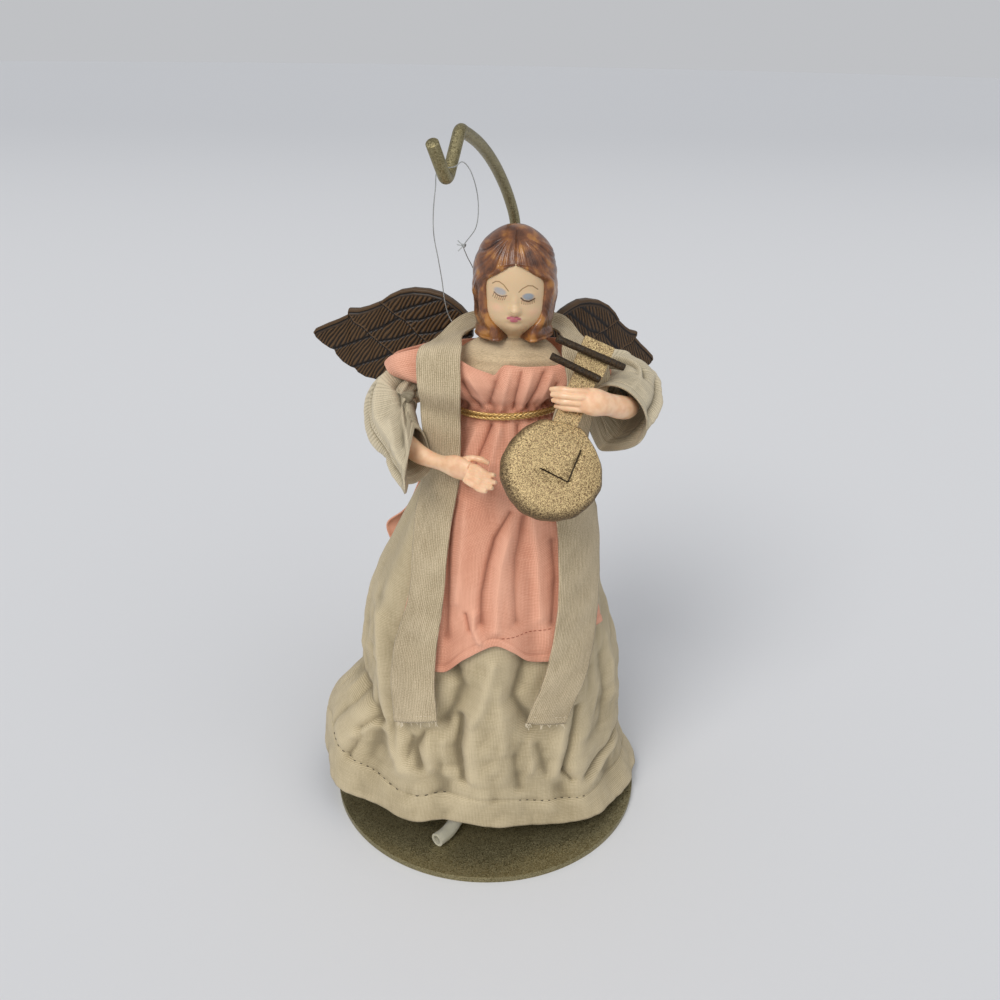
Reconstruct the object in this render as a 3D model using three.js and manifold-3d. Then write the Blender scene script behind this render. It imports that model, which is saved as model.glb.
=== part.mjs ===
// Angel tree topper with a lute, standing on its own hanger stand.
// Millimetres, +Z up. The origin is the centre of the underside of the stand plate.
// Looking at the angel's face is looking along +Y, with +X to the right of the picture.
import * as THREE from 'three';
import { mergeVertices } from 'three/addons/utils/BufferGeometryUtils.js';
import Module from 'manifold-3d';

const wasm = await Module();
wasm.setup();

// Driving dimensions
const clearance = 0.3;          // gap between pieces that touch
const plateRadius = 63.5;
const plateThickness = 2.4;
const rodDiameter = 4.1;
const rodEdgeDistance = 8;      // from the rod's axis to the plate's edge
const archAboveCrown = 30;      // rod axis at the top of the arch, above the head
const hookBelowArch = 13.8;     // from the top of the arch to the foot of the V
const hookTipRise = 12.9;       // from the foot of the V to the cut tip
const rivetDiameter = 5.6;
const figureHeight = 233;       // from the plate to the crown of the head
const hemHalfWidth = 67;
const hemFrontDepth = 50;
const hemBackDepth = 40;
const waistHalfWidth = 16;
const waistFrontDepth = 13;
const waistBackDepth = 12;
const clothThickness = 0.8;
const layerGap = 0.9;           // air between two layers of cloth
const foldDepth = 2;            // the skirt's soft folds
const pleatDepth = 5;           // the skirt's deep creases
const beltDiameter = 2.8;
const stoleWidth = 15.5;
const coneBottomRadius = 27;
const coneTopRadius = 7;
const coneWall = 1;
const tubeDiameter = 5.5;
const tubeBore = 3.4;
const dowelDiameter = 4;
const armWireDiameter = 2;
const lineDiameter = 0.35;
const hairHalfWidth = 14.6;
const neckRadius = 5;
const wingSpan = 60;
const wingThickness = 1.4;
const featherStep = 0.7;        // how far each tier of feathers stands over the next
const luteHalfWidth = 17;
const luteThickness = 6.4;
const luteBevel = 1.2;
const luteNeckWidth = 9;
const luteNeckThickness = 3.2;
const luteNeckLength = 36;
const luteBarDiameter = 2.6;
const luteBarLength = 25;
const wristRadius = 0.0116 * figureHeight;
const knotRadius = 1.15;
const cutEndLength = 2.6;       // of the line, beyond the knot
const wingSeat = 5.6;           // from the chest's back to the middle of the wings
const tubeReach = 21.5;         // from the foot of the cone to the tube's open end

// Facets
const around = 44;
const skirtRows = 12;
const rodSides = 10;

const { PI, sin, cos, abs, exp, hypot, min, max } = Math;
const degrees = PI / 180;
const rod = rodDiameter / 2;

// A point of the figure, from shares of its height, counted from the plate's top
const at = ([x, y, z]) => new THREE.Vector3(
  x * figureHeight, y * figureHeight, plateThickness + z * figureHeight);
const mix = (a, b, t) => a + (b - a) * t;
const step = (a, b, t) => {
  const s = min(max((t - a) / (b - a), 0), 1);
  return s * s * (3 - 2 * s);
};
const bump = (t, middle, width) => exp(-(((t - middle) / width) ** 2));

// A smooth line through a table: keys rise, one value for each key
function through(keys, values, t) {
  const last = keys.length - 1;
  if (t <= keys[0]) return values[0];
  if (t >= keys[last]) return values[last];
  let i = 0;
  while (t > keys[i + 1]) i += 1;
  const slope = (k) => {
    const a = max(k - 1, 0);
    const b = min(k + 1, last);
    return (values[b] - values[a]) / (keys[b] - keys[a]);
  };
  const h = keys[i + 1] - keys[i];
  const s = (t - keys[i]) / h;
  const s2 = s * s;
  const s3 = s2 * s;
  return (2 * s3 - 3 * s2 + 1) * values[i] + (s3 - 2 * s2 + s) * h * slope(i)
    + (3 * s2 - 2 * s3) * values[i + 1] + (s3 - s2) * h * slope(i + 1);
}

// Closed bodies from grids of points

function geometryOf(points, faces) {
  const geometry = new THREE.BufferGeometry();
  geometry.setAttribute('position', new THREE.Float32BufferAttribute(points.flatMap((p) => [p.x, p.y, p.z]), 3));
  let volume = 0;
  const cross = new THREE.Vector3();
  for (const [a, b, c] of faces) {
    volume += points[a].dot(cross.crossVectors(points[b], points[c]));
  }
  const turned = volume < 0 ? faces.map(([a, b, c]) => [a, c, b]) : faces;
  geometry.setIndex(turned.flat());
  return geometry;
}

function quad(faces, a, b, c, d) {
  faces.push([a, b, c], [a, c, d]);
}

// A body through a row of rings, closed by a fan at each end
function loft(rings) {
  const sides = rings[0].length;
  const points = rings.flat();
  const faces = [];
  for (let r = 0; r + 1 < rings.length; r += 1) {
    for (let i = 0; i < sides; i += 1) {
      const j = (i + 1) % sides;
      quad(faces, r * sides + i, r * sides + j, (r + 1) * sides + j, (r + 1) * sides + i);
    }
  }
  for (const [ring, first] of [[rings[0], 0], [rings[rings.length - 1], (rings.length - 1) * sides]]) {
    const middle = ring.reduce((sum, p) => sum.add(p), new THREE.Vector3()).divideScalar(sides);
    points.push(middle);
    for (let i = 0; i < sides; i += 1) {
      const j = (i + 1) % sides;
      const fan = [first + i, points.length - 1, first + j];
      faces.push(first ? [fan[2], fan[1], fan[0]] : fan);
    }
  }
  return geometryOf(points, faces);
}

// A pipe wall between two rows of rings, open at both ends
function wall(outer, inner) {
  const sides = outer[0].length;
  const rows = outer.length;
  const points = [...outer.flat(), ...inner.flat()];
  const faces = [];
  const inside = rows * sides;
  for (let i = 0; i < sides; i += 1) {
    const j = (i + 1) % sides;
    for (let r = 0; r + 1 < rows; r += 1) {
      quad(faces, r * sides + i, r * sides + j, (r + 1) * sides + j, (r + 1) * sides + i);
      quad(faces, inside + r * sides + j, inside + r * sides + i, inside + (r + 1) * sides + i, inside + (r + 1) * sides + j);
    }
    const end = (rows - 1) * sides;
    quad(faces, j, i, inside + i, inside + j);
    quad(faces, end + i, end + j, inside + end + j, inside + end + i);
  }
  return geometryOf(points, faces);
}

// Rings along a line of points, each turned as little as it can be from the last
function sweep(line, section) {
  const rings = [];
  let side = null;
  line.forEach((point, i) => {
    const ahead = line[min(i + 1, line.length - 1)];
    const behind = line[max(i - 1, 0)];
    const along = ahead.clone().sub(behind).normalize();
    if (!side) {
      side = abs(along.z) < 0.9 ? new THREE.Vector3(0, 0, 1) : new THREE.Vector3(1, 0, 0);
    }
    side = side.clone().sub(along.clone().multiplyScalar(side.dot(along))).normalize();
    const up = new THREE.Vector3().crossVectors(along, side);
    rings.push(section(i / (line.length - 1)).map(([a, b]) => point.clone()
      .add(side.clone().multiplyScalar(a)).add(up.clone().multiplyScalar(b))));
  });
  return rings;
}

const circle = (radius, sides) => Array.from({ length: sides }, (_, i) => [
  radius * cos(2 * PI * i / sides), radius * sin(2 * PI * i / sides)]);
const smoothLine = (points, steps) => new THREE.CatmullRomCurve3(points, false, 'centripetal').getPoints(steps);

// Cloth: a surface given as a function, thickened to both sides
function normalOf(surface, u, v) {
  const e = 1e-3;
  const du = surface(u + e, v).sub(surface(u - e, v));
  const dv = surface(u, v + e).sub(surface(u, v - e));
  return du.cross(dv).normalize();
}

function clothRows(surface, columns, rows, closed, side) {
  const grid = [];
  for (let r = 0; r <= rows; r += 1) {
    const row = [];
    for (let c = 0; c < columns + (closed ? 0 : 1); c += 1) {
      const u = c / columns;
      const v = r / rows;
      row.push(surface(u, v).add(normalOf(surface, u, v).multiplyScalar(side * clothThickness / 2)));
    }
    grid.push(row);
  }
  return grid;
}

// A sleeve, skirt or collar: the surface closes on itself as u goes from 0 to 1
function clothTube(surface, columns, rows) {
  return wall(clothRows(surface, columns, rows, true, 1), clothRows(surface, columns, rows, true, -1));
}

// A panel or strip with four edges: its two faces and its edges make one long wall round
function clothPanel(surface, columns, rows) {
  const front = clothRows(surface, columns, rows, false, 1);
  const back = clothRows(surface, columns, rows, false, -1);
  return loftFlat(front.map((row, r) => [...row, ...back[r].slice().reverse()]));
}

// As a loft, with each end closed by a strip between the ring's two halves
function loftFlat(rings) {
  const sides = rings[0].length;
  const points = rings.flat();
  const faces = [];
  for (let r = 0; r + 1 < rings.length; r += 1) {
    for (let i = 0; i < sides; i += 1) {
      const j = (i + 1) % sides;
      quad(faces, r * sides + i, r * sides + j, (r + 1) * sides + j, (r + 1) * sides + i);
    }
  }
  const end = (rings.length - 1) * sides;
  for (let i = 0; i + 1 < sides / 2; i += 1) {
    const k = sides - 1 - i;
    quad(faces, i + 1, i, k, k - 1);
    quad(faces, end + i, end + i + 1, end + k - 1, end + k);
  }
  return geometryOf(points, faces);
}

// Joins and cuts
function solidOf(geometry) {
  const plain = new THREE.BufferGeometry();
  plain.setAttribute('position', geometry.getAttribute('position'));
  plain.setIndex(geometry.index);
  const merged = mergeVertices(plain);
  return new wasm.Manifold(new wasm.Mesh({
    numProp: 3,
    vertProperties: new Float32Array(merged.getAttribute('position').array),
    triVerts: new Uint32Array(merged.index.array),
  }));
}

function geometryFrom(solid) {
  const mesh = solid.getMesh();
  const geometry = new THREE.BufferGeometry();
  geometry.setAttribute('position', new THREE.BufferAttribute(new Float32Array(mesh.vertProperties), 3));
  geometry.setIndex(Array.from(mesh.triVerts));
  return geometry;
}

const join = (geometries) => geometryFrom(geometries.map(solidOf).reduce((sum, next) => sum.add(next)));
const cut = (geometry, tools) => geometryFrom(tools.map(solidOf).reduce((rest, tool) => rest.subtract(tool), solidOf(geometry)));

const assembly = new THREE.Group();
const paint = (color, roughness, metalness = 0) => new THREE.MeshStandardMaterial({ color, roughness, metalness });
const colours = {
  bronzePaint: paint(0x7d7448, 0.38, 0.7),
  beigeLinen: paint(0xb5a68a, 0.95),
  sageLinen: paint(0xa39c82, 0.95),
  pinkLinen: paint(0xd98b78, 0.95),
  knit: paint(0xaca083, 0.95),
  goldCord: paint(0xb8923f, 0.35, 0.8),
  glitter: paint(0xa5894f, 0.6, 0.6),
  darkGlitter: paint(0x4b3c24, 0.7, 0.4),
  wingPlastic: paint(0x5b4c3b, 0.5, 0.2),
  paintedHead: paint(0x8a5a36, 0.35),
  handPlastic: paint(0xe0ab8a, 0.4),
  card: paint(0xc9c2b2, 0.9),
  foam: paint(0xe4e0d6, 0.9),
  wood: paint(0xc8a977, 0.8),
  wire: paint(0x8d8d8a, 0.4, 0.9),
  clearPlastic: paint(0xc9cbbd, 0.2),
};

function add(name, geometry, material) {
  geometry.computeVertexNormals();
  const mesh = new THREE.Mesh(geometry, material);
  mesh.name = name;
  assembly.add(mesh);
  return mesh;
}

// The stand: a plate with a full round edge, and one bent rod riveted through it

const plateEdge = plateThickness / 2;
const rodFoot = new THREE.Vector2(9.4, 54.8).normalize().multiplyScalar(plateRadius - rodEdgeDistance);
const hookShare = new THREE.Vector2(-0.0605, -0.1085);
const hookPlace = hookShare.clone().multiplyScalar(figureHeight);

function platePiece() {
  const profile = [new THREE.Vector2(0, 0)];
  const roundings = 6;
  for (let i = 0; i <= roundings; i += 1) {
    const angle = -PI / 2 + PI * i / roundings;
    profile.push(new THREE.Vector2(plateRadius - plateEdge + plateEdge * cos(angle), plateEdge + plateEdge * sin(angle)));
  }
  profile.push(new THREE.Vector2(0, plateThickness));
  const disc = new THREE.LatheGeometry(profile, 48);
  disc.rotateX(PI / 2);
  const holeRadius = rod + clearance;
  const hole = new THREE.CylinderGeometry(holeRadius, holeRadius, 4 * plateThickness, 24);
  const sinkDepth = plateThickness / 2;
  const sink = new THREE.CylinderGeometry(holeRadius, rivetDiameter / 2 + clearance, sinkDepth, 24);
  sink.translate(0, -sinkDepth / 2, 0);
  hole.rotateX(PI / 2);
  sink.rotateX(PI / 2);
  hole.translate(rodFoot.x, rodFoot.y, 0);
  sink.translate(rodFoot.x, rodFoot.y, 0);
  sink.translate(0, 0, sinkDepth);
  return cut(disc, [hole, sink]);
}

// The rod stands in one upright plane, from its foot to the point over the hook.
// Shares: reach along that plane, from foot to V, and height from the plate to the arch.
const archHeight = figureHeight + archAboveCrown;
const bendShares = [
  [0, 0.62], [0, 0.72], [0.008, 0.775], [0.027, 0.822], [0.062, 0.858], [0.16, 0.893],
  [0.30, 0.928], [0.45, 0.957], [0.60, 0.979], [0.72, 0.992], [0.80, 0.999],
];

function rodLine() {
  const foot = new THREE.Vector3(rodFoot.x, rodFoot.y, plateThickness);
  const reachLine = new THREE.Vector3(hookPlace.x - rodFoot.x, hookPlace.y - rodFoot.y, 0);
  const reach = reachLine.length();
  const forward = reachLine.normalize();
  const place = (share, height) => foot.clone().add(forward.clone().multiplyScalar(share * reach))
    .add(new THREE.Vector3(0, 0, height));
  const bend = smoothLine(bendShares.map(([r, h]) => place(r, h * archHeight)), 20);
  const rounded = (corner, before, after, radius, steps) => {
    const a = before.clone().sub(corner).normalize();
    const b = after.clone().sub(corner).normalize();
    const half = a.angleTo(b) / 2;
    const back = radius / Math.tan(half);
    const middle = a.clone().add(b).normalize().multiplyScalar(radius / sin(half)).add(corner);
    const from = corner.clone().add(a.multiplyScalar(back)).sub(middle);
    const to = corner.clone().add(b.multiplyScalar(back)).sub(middle);
    const turn = from.angleTo(to);
    return Array.from({ length: steps + 1 }, (_, i) => from.clone().multiplyScalar(sin(turn * (1 - i / steps)))
      .add(to.clone().multiplyScalar(sin(turn * i / steps))).divideScalar(sin(turn)).add(middle));
  };
  const arch = place(0.845, archHeight + rod / 2);
  const vee = place(1, archHeight - hookBelowArch);
  const tip = place(1.15, archHeight - hookBelowArch + hookTipRise);
  const bendRadius = 1.6 * rod;
  const straight = [foot.clone().setZ(plateThickness * 0.1)];
  straight.push(foot.clone().setZ(plateThickness * 0.5));
  straight.push(foot.clone().setZ(archHeight * 0.3));
  return [
    ...straight, ...bend,
    ...rounded(arch, bend[bend.length - 1], vee, bendRadius, 5),
    ...rounded(vee, arch, tip, bendRadius, 6), tip,
  ];
}

function rodPiece() {
  const line = rodLine();
  const shaft = loft(sweep(line, () => circle(rod, rodSides)));
  const headDepth = plateThickness * 0.4;
  const head = new THREE.CylinderGeometry(rod, rivetDiameter / 2, headDepth, 24);
  head.rotateX(PI / 2);
  head.translate(rodFoot.x, rodFoot.y, headDepth / 2 + plateThickness * 0.05);
  return join([shaft, head]);
}

// The dressed body: at each height it is an oval with four half axes

const waistShare = 0.728;
const waistHeight = plateThickness + waistShare * figureHeight;
const waistCentreShare = [0.0236, 0];
const hemCentreShare = [-0.0129, 0.0086];
const hemAngles = [-180, -150, -120, -90, -78, -54, -37, -23, -9, 8, 22, 38, 54, 71, 90, 120, 150, 180];
const hemHeightShares = [
  0.026, 0.030, 0.043, 0.056, 0.064, 0.047, 0.050, 0.043, 0.058, 0.051, 0.036, 0.027, 0.022, 0.014, 0.012, 0.016, 0.024, 0.026,
];
const spreadLevels = [0, 0.14, 0.25, 0.36, 0.46, 0.55, 0.66, 0.75, 0.80, 0.86, 0.92, 1];
const spreadShares = {
  left: [0, 0.16, 0.315, 0.46, 0.59, 0.65, 0.685, 0.70, 0.84, 0.95, 0.985, 1],
  right: [0, 0.20, 0.345, 0.44, 0.51, 0.62, 0.735, 0.77, 0.79, 0.815, 0.85, 1],
  front: [0, 0.20, 0.37, 0.54, 0.66, 0.745, 0.84, 0.885, 0.91, 0.945, 0.97, 1],
  back: [0, 0.25, 0.46, 0.63, 0.75, 0.83, 0.895, 0.93, 0.945, 0.96, 0.98, 1],
};
// Each crease: angle from the front, its width there, its level and the run of that level, share of the depth
const creases = [
  { angle: -13, width: 5, level: 0.88, run: 0.10, share: 0.55 },
  { angle: -44, width: 9, level: 0.84, run: 0.09, share: 0.85 },
  { angle: 34, width: 6, level: 0.90, run: 0.07, share: 0.60 },
  { angle: 52, width: 8, level: 0.70, run: 0.20, share: 0.40 },
  { angle: -66, width: 7, level: 0.62, run: 0.18, share: 0.45 },
  { angle: 66, width: 10, level: 0.94, run: 0.05, share: 0.60 },
  { angle: 171, width: 12, level: 0.80, run: 0.35, share: 0.90 },
];

const hemHeight = (angle) => plateThickness + figureHeight
  * through(hemAngles, hemHeightShares, ((angle + 540) % 360) - 180);
const levelAt = (angle, z) => (waistHeight - z) / (waistHeight - hemHeight(angle));

function skirtPoint(angle, z, offset = 0) {
  const level = min(max(levelAt(angle, z), 0), 1);
  const drop = (waistHeight - z) / (waistHeight - plateThickness);
  const a = angle * degrees;
  const spread = (side, waist, hem) => mix(waist, hem, through(spreadLevels, spreadShares[side], level));
  const half = sin(a) < 0
    ? spread('left', waistHalfWidth, hemHalfWidth) : spread('right', waistHalfWidth, hemHalfWidth);
  const depth = cos(a) > 0
    ? spread('front', waistFrontDepth, hemFrontDepth) : spread('back', waistBackDepth, hemBackDepth);
  const grown = step(0, 0.45, level);
  let out = foldDepth * grown * (0.45 * cos(7 * a + 0.6) + 0.35 * cos(11 * a - 1.1));
  for (const crease of creases) {
    const away = ((angle - crease.angle + 540) % 360) - 180;
    out -= pleatDepth * crease.share * bump(away, 0, crease.width) * bump(level, crease.level, crease.run);
  }
  const normal = new THREE.Vector2(depth * sin(a), -half * cos(a)).normalize();
  return new THREE.Vector3(
    mix(waistCentreShare[0], hemCentreShare[0], drop) * figureHeight + half * sin(a) + (out + offset) * normal.x,
    mix(waistCentreShare[1], hemCentreShare[1], drop) * figureHeight - depth * cos(a) + (out + offset) * normal.y,
    z);
}

function skirtPiece() {
  const top = waistHeight - clothThickness;
  return clothTube((u, v) => {
    const angle = 360 * u - 180;
    return skirtPoint(angle, mix(top, hemHeight(angle), v));
  }, around, skirtRows);
}

// The chest over the belt: shares of the rise from the waist to the shoulders
const shoulderRise = 0.1202 * figureHeight;
const riseShares = [0, 0.08, 0.2, 0.4, 0.6, 0.8, 1];
const chestHalfShares = [0.0764, 0.0766, 0.104, 0.178, 0.186, 0.158, 0.120];
const chestFrontShares = [0.0636, 0.0638, 0.0695, 0.072, 0.064, 0.047, 0.026];
const chestBackShares = [0.0590, 0.0592, 0.0625, 0.066, 0.064, 0.058, 0.040];

function chestPoint(angle, z, offset = 0) {
  const rise = (z - waistHeight) / shoulderRise;
  const a = angle * degrees;
  const half = through(riseShares, chestHalfShares, rise) * figureHeight;
  const depth = through(riseShares, cos(a) > 0 ? chestFrontShares : chestBackShares, rise) * figureHeight;
  const normal = new THREE.Vector2(depth * sin(a), -half * cos(a)).normalize();
  return new THREE.Vector3(
    waistCentreShare[0] * figureHeight + half * sin(a) + offset * normal.x,
    waistCentreShare[1] * figureHeight - depth * cos(a) + offset * normal.y,
    z);
}

const tunicOffset = clothThickness + layerGap;
const bodyPoint = (angle, z, offset) => {
  if (z < waistHeight) return skirtPoint(angle, z, tunicOffset + offset);
  const low = skirtPoint(angle, waistHeight, tunicOffset + offset);
  const chest = chestPoint(angle, z, offset);
  return low.lerp(chest, step(0.04, 0.24, (z - waistHeight) / shoulderRise)).setZ(z);
};

// The tunic: a front and a back panel of pink linen, drawn in under the belt
const beltLevel = 0.25;         // how far down a panel the belt crosses it
const neckKeys = [-1, -0.8, -0.6, -0.42, -0.26, 0, 0.06, 0.11, 0.21, 0.3, 0.41, 0.6, 0.8, 1];
const neckLineShares = [
  0.790, 0.803, 0.814, 0.817, 0.821, 0.799, 0.792, 0.7965, 0.7965, 0.808, 0.821, 0.819, 0.803, 0.793,
];
// The panels' side edges, as angles from the front, from the shoulder down past the belt to the hem
const edgeKeys = [0, 0.06, 0.14, 0.22, 0.28, 0.6, 1];
const frontEdges = { left: [-82, -64, -56, -72, -80, -56, -43], right: [57, 56, 54, 72, 80, 62, 52] };
const backEdges = { left: [130, 130, 128, 108, 98, 104, 108], right: [260, 240, 232, 252, 262, 264, 262] };
const hemKeys = [-1, -0.6, -0.3, 0, 0.25, 0.5, 1];
const tunicHemShares = [0.365, 0.338, 0.352, 0.367, 0.353, 0.364, 0.388];

// Rows of facets lie close together at the belt
const rowShares = [0, 0.07, 0.14, 0.19, 0.225, 0.25, 0.275, 0.33, 0.42, 0.54, 0.68, 0.84, 1];
const panelRows = rowShares.length - 1;

function rowPlace(v) {
  const row = min(max(Math.floor(v * panelRows), 0), panelRows - 1);
  return mix(rowShares[row], rowShares[row + 1], v * panelRows - row);
}

function panelPoint(s, t, topShare, hemShare, edges, folds) {
  const top = plateThickness + topShare * figureHeight;
  const hem = plateThickness + hemShare * figureHeight;
  const z = t < beltLevel
    ? mix(top, waistHeight, t / beltLevel) : mix(waistHeight, hem, (t - beltLevel) / (1 - beltLevel));
  const angle = mix(through(edgeKeys, edges.left, t), through(edgeKeys, edges.right, t), (s + 1) / 2);
  const gathers = 0.5 + 0.5 * cos(folds * PI * s + 0.7);
  const soft = foldDepth * 0.75 * gathers * step(0, 0.22, abs(t - beltLevel)) * step(1, 0.75, abs(s) * step(0.2, 0, t));
  return bodyPoint(angle, z, soft);
}

const tunicFrontPiece = () => clothPanel((u, v) => {
  const s = 2 * u - 1;
  const t = rowPlace(v);
  return panelPoint(s, t, through(neckKeys, neckLineShares, s), through(hemKeys, tunicHemShares, s),
    frontEdges, 6);
}, 22, panelRows);

const tunicBackPiece = () => clothPanel((u, v) => {
  const s = 2 * u - 1;
  const t = rowPlace(v);
  const top = mix(0.812, s < 0 ? 0.822 : 0.792, s * s);
  return panelPoint(s, t, top, 0.40 - 0.02 * cos(3 * PI * s), backEdges, 5);
}, 16, panelRows);

// The belt: one round of gold cord, just outside the gathered tunic
function beltPiece() {
  const offset = tunicOffset + clothThickness / 2 + 2 * clearance + beltDiameter / 2;
  const line = Array.from({ length: around }, (_, i) => {
    const angle = 360 * i / around;
    const point = skirtPoint(angle, waistHeight, offset);
    return point.setZ(waistHeight + 0.15 * beltDiameter * sin(angle * degrees * 2));
  });
  const rings = line.map((point, i) => {
    const along = line[(i + 1) % around].clone().sub(line[(i + around - 1) % around]).normalize();
    const out = new THREE.Vector3(along.y, -along.x, 0).normalize();
    const up = new THREE.Vector3().crossVectors(out, along);
    return circle(beltDiameter / 2, 8).map(([a, b]) => point.clone()
      .add(out.clone().multiplyScalar(a)).add(up.clone().multiplyScalar(b)));
  });
  const faces = [];
  rings.forEach((ring, r) => ring.forEach((_, i) => {
    const n = ring.length;
    const next = ((r + 1) % around) * n;
    quad(faces, r * n + i, r * n + (i + 1) % n, next + (i + 1) % n, next + i);
  }));
  return geometryOf(rings.flat(), faces);
}

// The stole: one long knitted strip, hanging in front on both sides and standing up round the neck.
// Rows: angle from the front and height share of the strip's middle, and the lean of its row
const hangLeftShares = [
  [-34, 0.264, -0.004], [-35, 0.33, 0.005], [-37, 0.392, 0.008], [-39, 0.52, 0.004],
  [-41, 0.61, 0], [-44, 0.68, 0], [-43, 0.735, 0], [-33, 0.782, 0], [-35, 0.826, 0.003],
];
const hangRightShares = [
  [22, 0.256, 0.006], [32, 0.32, 0.003], [40, 0.378, 0], [48, 0.46, 0],
  [51, 0.56, 0], [48, 0.65, 0], [39, 0.735, 0], [34, 0.782, 0], [43, 0.824, 0],
];
const collarMiddleShares = [
  [-0.061, -0.0064, 0.8335], [-0.0386, 0.030, 0.843], [-0.0107, 0.058, 0.8438], [0.0343, 0.0721, 0.8438],
  [0.0794, 0.0601, 0.8438], [0.1056, 0.0365, 0.842], [0.1227, 0.0021, 0.8335],
];
const collarAcrossShares = [
  [0.54, -0.21, 0.10], [0.49, -0.08, -0.18], [0.34, -0.34, -0.26], [0, -0.41, -0.31],
  [-0.34, -0.34, -0.26], [-0.44, -0.13, -0.18], [-0.46, -0.15, 0.08],
];
const hangRuns = 0.38;

function stoleOffset(z) {
  const overBelt = beltDiameter + clothThickness + 2 * clearance;
  const away = (z - waistHeight) / (4 * beltDiameter);
  return clothThickness + layerGap + foldDepth * 0.75 + (overBelt - foldDepth * 0.4) * exp(-away * away);
}

function hangPoint(rows, s, t) {
  const keys = rows.map((_, i) => i / (rows.length - 1));
  const value = (k) => through(keys, rows.map((row) => row[k]), t);
  const z = plateThickness + (value(1) + s * value(2)) * figureHeight;
  const here = bodyPoint(value(0), z, 0);
  const turned = bodyPoint(value(0) + 1, z, 0);
  const spread = (stoleWidth / 2) / hypot(turned.x - here.x, turned.y - here.y);
  return bodyPoint(value(0) + s * spread, z, stoleOffset(z));
}

function stolePoint(u, t) {
  const s = 2 * u - 1;
  if (t < hangRuns) return hangPoint(hangLeftShares, s, t / hangRuns);
  if (t > 1 - hangRuns) return hangPoint(hangRightShares, -s, (1 - t) / hangRuns);
  const middles = [0, ...collarMiddleShares.map(at), 0];
  middles[0] = hangPoint(hangLeftShares, 0, 1);
  middles[middles.length - 1] = hangPoint(hangRightShares, 0, 1);
  const half = stoleWidth / 2;
  const edge = (rows, side) => hangPoint(rows, side, 1).sub(hangPoint(rows, 0, 1));
  const leans = collarAcrossShares.map((share) => new THREE.Vector3(...share).multiplyScalar(half));
  const across = [edge(hangLeftShares, 1), ...leans, edge(hangRightShares, -1)];
  const run = (t - hangRuns) / (1 - 2 * hangRuns);
  const line = new THREE.CatmullRomCurve3(middles, false, 'centripetal');
  const widths = new THREE.CatmullRomCurve3(across, false, 'centripetal');
  return line.getPoint(run).add(widths.getPoint(run).multiplyScalar(s));
}

const stolePiece = () => clothPanel(stolePoint, 5, 50);

// The neck piece: a loose collar of fine knit between the neck and the tunic
const bodiceLevels = [0, 0.25, 0.5, 0.75, 1];
const bodiceHeightShares = [0.829, 0.824, 0.812, 0.798, 0.778];
const bodiceSpreadShares = [0.0285, 0.040, 0.053, 0.062, 0.0665];
const bodicePiece = () => clothTube((u, v) => {
  const a = 2 * PI * u;
  const spread = through(bodiceLevels, bodiceSpreadShares, v) * figureHeight;
  const ripple = 1 + 0.04 * cos(5 * a + 0.8) * v;
  return at([mix(0.034, 0.0236, v), mix(0.004, 0, v), through(bodiceLevels, bodiceHeightShares, v)])
    .add(new THREE.Vector3(spread * ripple * sin(a), -mix(1, 0.80, v) * spread * ripple * cos(a), 0));
}, 24, 5);

// The torso: a soft core that everything above the skirt is fixed to
const torsoShares = [
  [0.629, 0.036, 0.032], [0.675, 0.052, 0.043], [0.728, 0.0615, 0.0475], [0.762, 0.0625, 0.0465],
  [0.784, 0.055, 0.040], [0.795, 0.036, 0.030],
];
const torsoTop = plateThickness + torsoShares[torsoShares.length - 1][0] * figureHeight;
const neckDowelShare = [0.0285, 0.003, 0.806];

function dowelPiece(grown) {
  const foot = at(neckDowelShare);
  const length = dowelDiameter * 3;
  const radius = dowelDiameter / 2 + grown;
  const peg = new THREE.CylinderGeometry(radius, radius, length + 2 * grown, 16);
  peg.rotateX(PI / 2);
  peg.translate(foot.x, foot.y, foot.z);
  return peg;
}

// The arm wire runs through the shoulders to both elbows
const wireShares = [
  [-0.162, -0.010, 0.722], [-0.148, 0.002, 0.748], [-0.125, 0.004, 0.760], [-0.06, 0.004, 0.766],
  [0.02, 0.004, 0.767], [0.11, 0.004, 0.772], [0.165, 0.003, 0.772], [0.200, -0.004, 0.758],
];

// The wire's end and a point before it, in line with the forearm that it is seated on
function wireEnd(armShares) {
  const elbow = at(armShares[0]);
  const back = elbow.clone().sub(at(armShares[1])).normalize();
  return [1.2 * clearance, armWireDiameter].map((length) => elbow.clone().addScaledVector(back, length));
}

function wireLine() {
  const right = wireEnd(rightArmShares);
  const left = wireEnd(leftArmShares).reverse();
  return smoothLine([...right, ...wireShares.map(at), ...left], 28);
}

function armWirePiece(grown, sides) {
  return loft(sweep(wireLine(), () => circle(armWireDiameter / 2 + grown, sides)));
}

function torsoPiece() {
  const rings = torsoShares.map(([z, half, depth]) => {
    const middle = at([mix(0.0236, 0.0285, step(0.72, 0.8, z)), 0, z]);
    return Array.from({ length: 24 }, (_, i) => {
      const a = 2 * PI * i / 24;
      return middle.clone().add(new THREE.Vector3(half * figureHeight * sin(a), -depth * figureHeight * cos(a), 0));
    });
  });
  return cut(loft(rings), [dowelPiece(clearance), armWirePiece(clearance, 8)]);
}

// The cone of card that the skirt hides: it slips over a tree's top, and stands on the plate
const coneCentreShare = [0.0107, 0.0043, 0];
const coneTop = plateThickness + torsoShares[0][0] * figureHeight - clearance;

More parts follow.
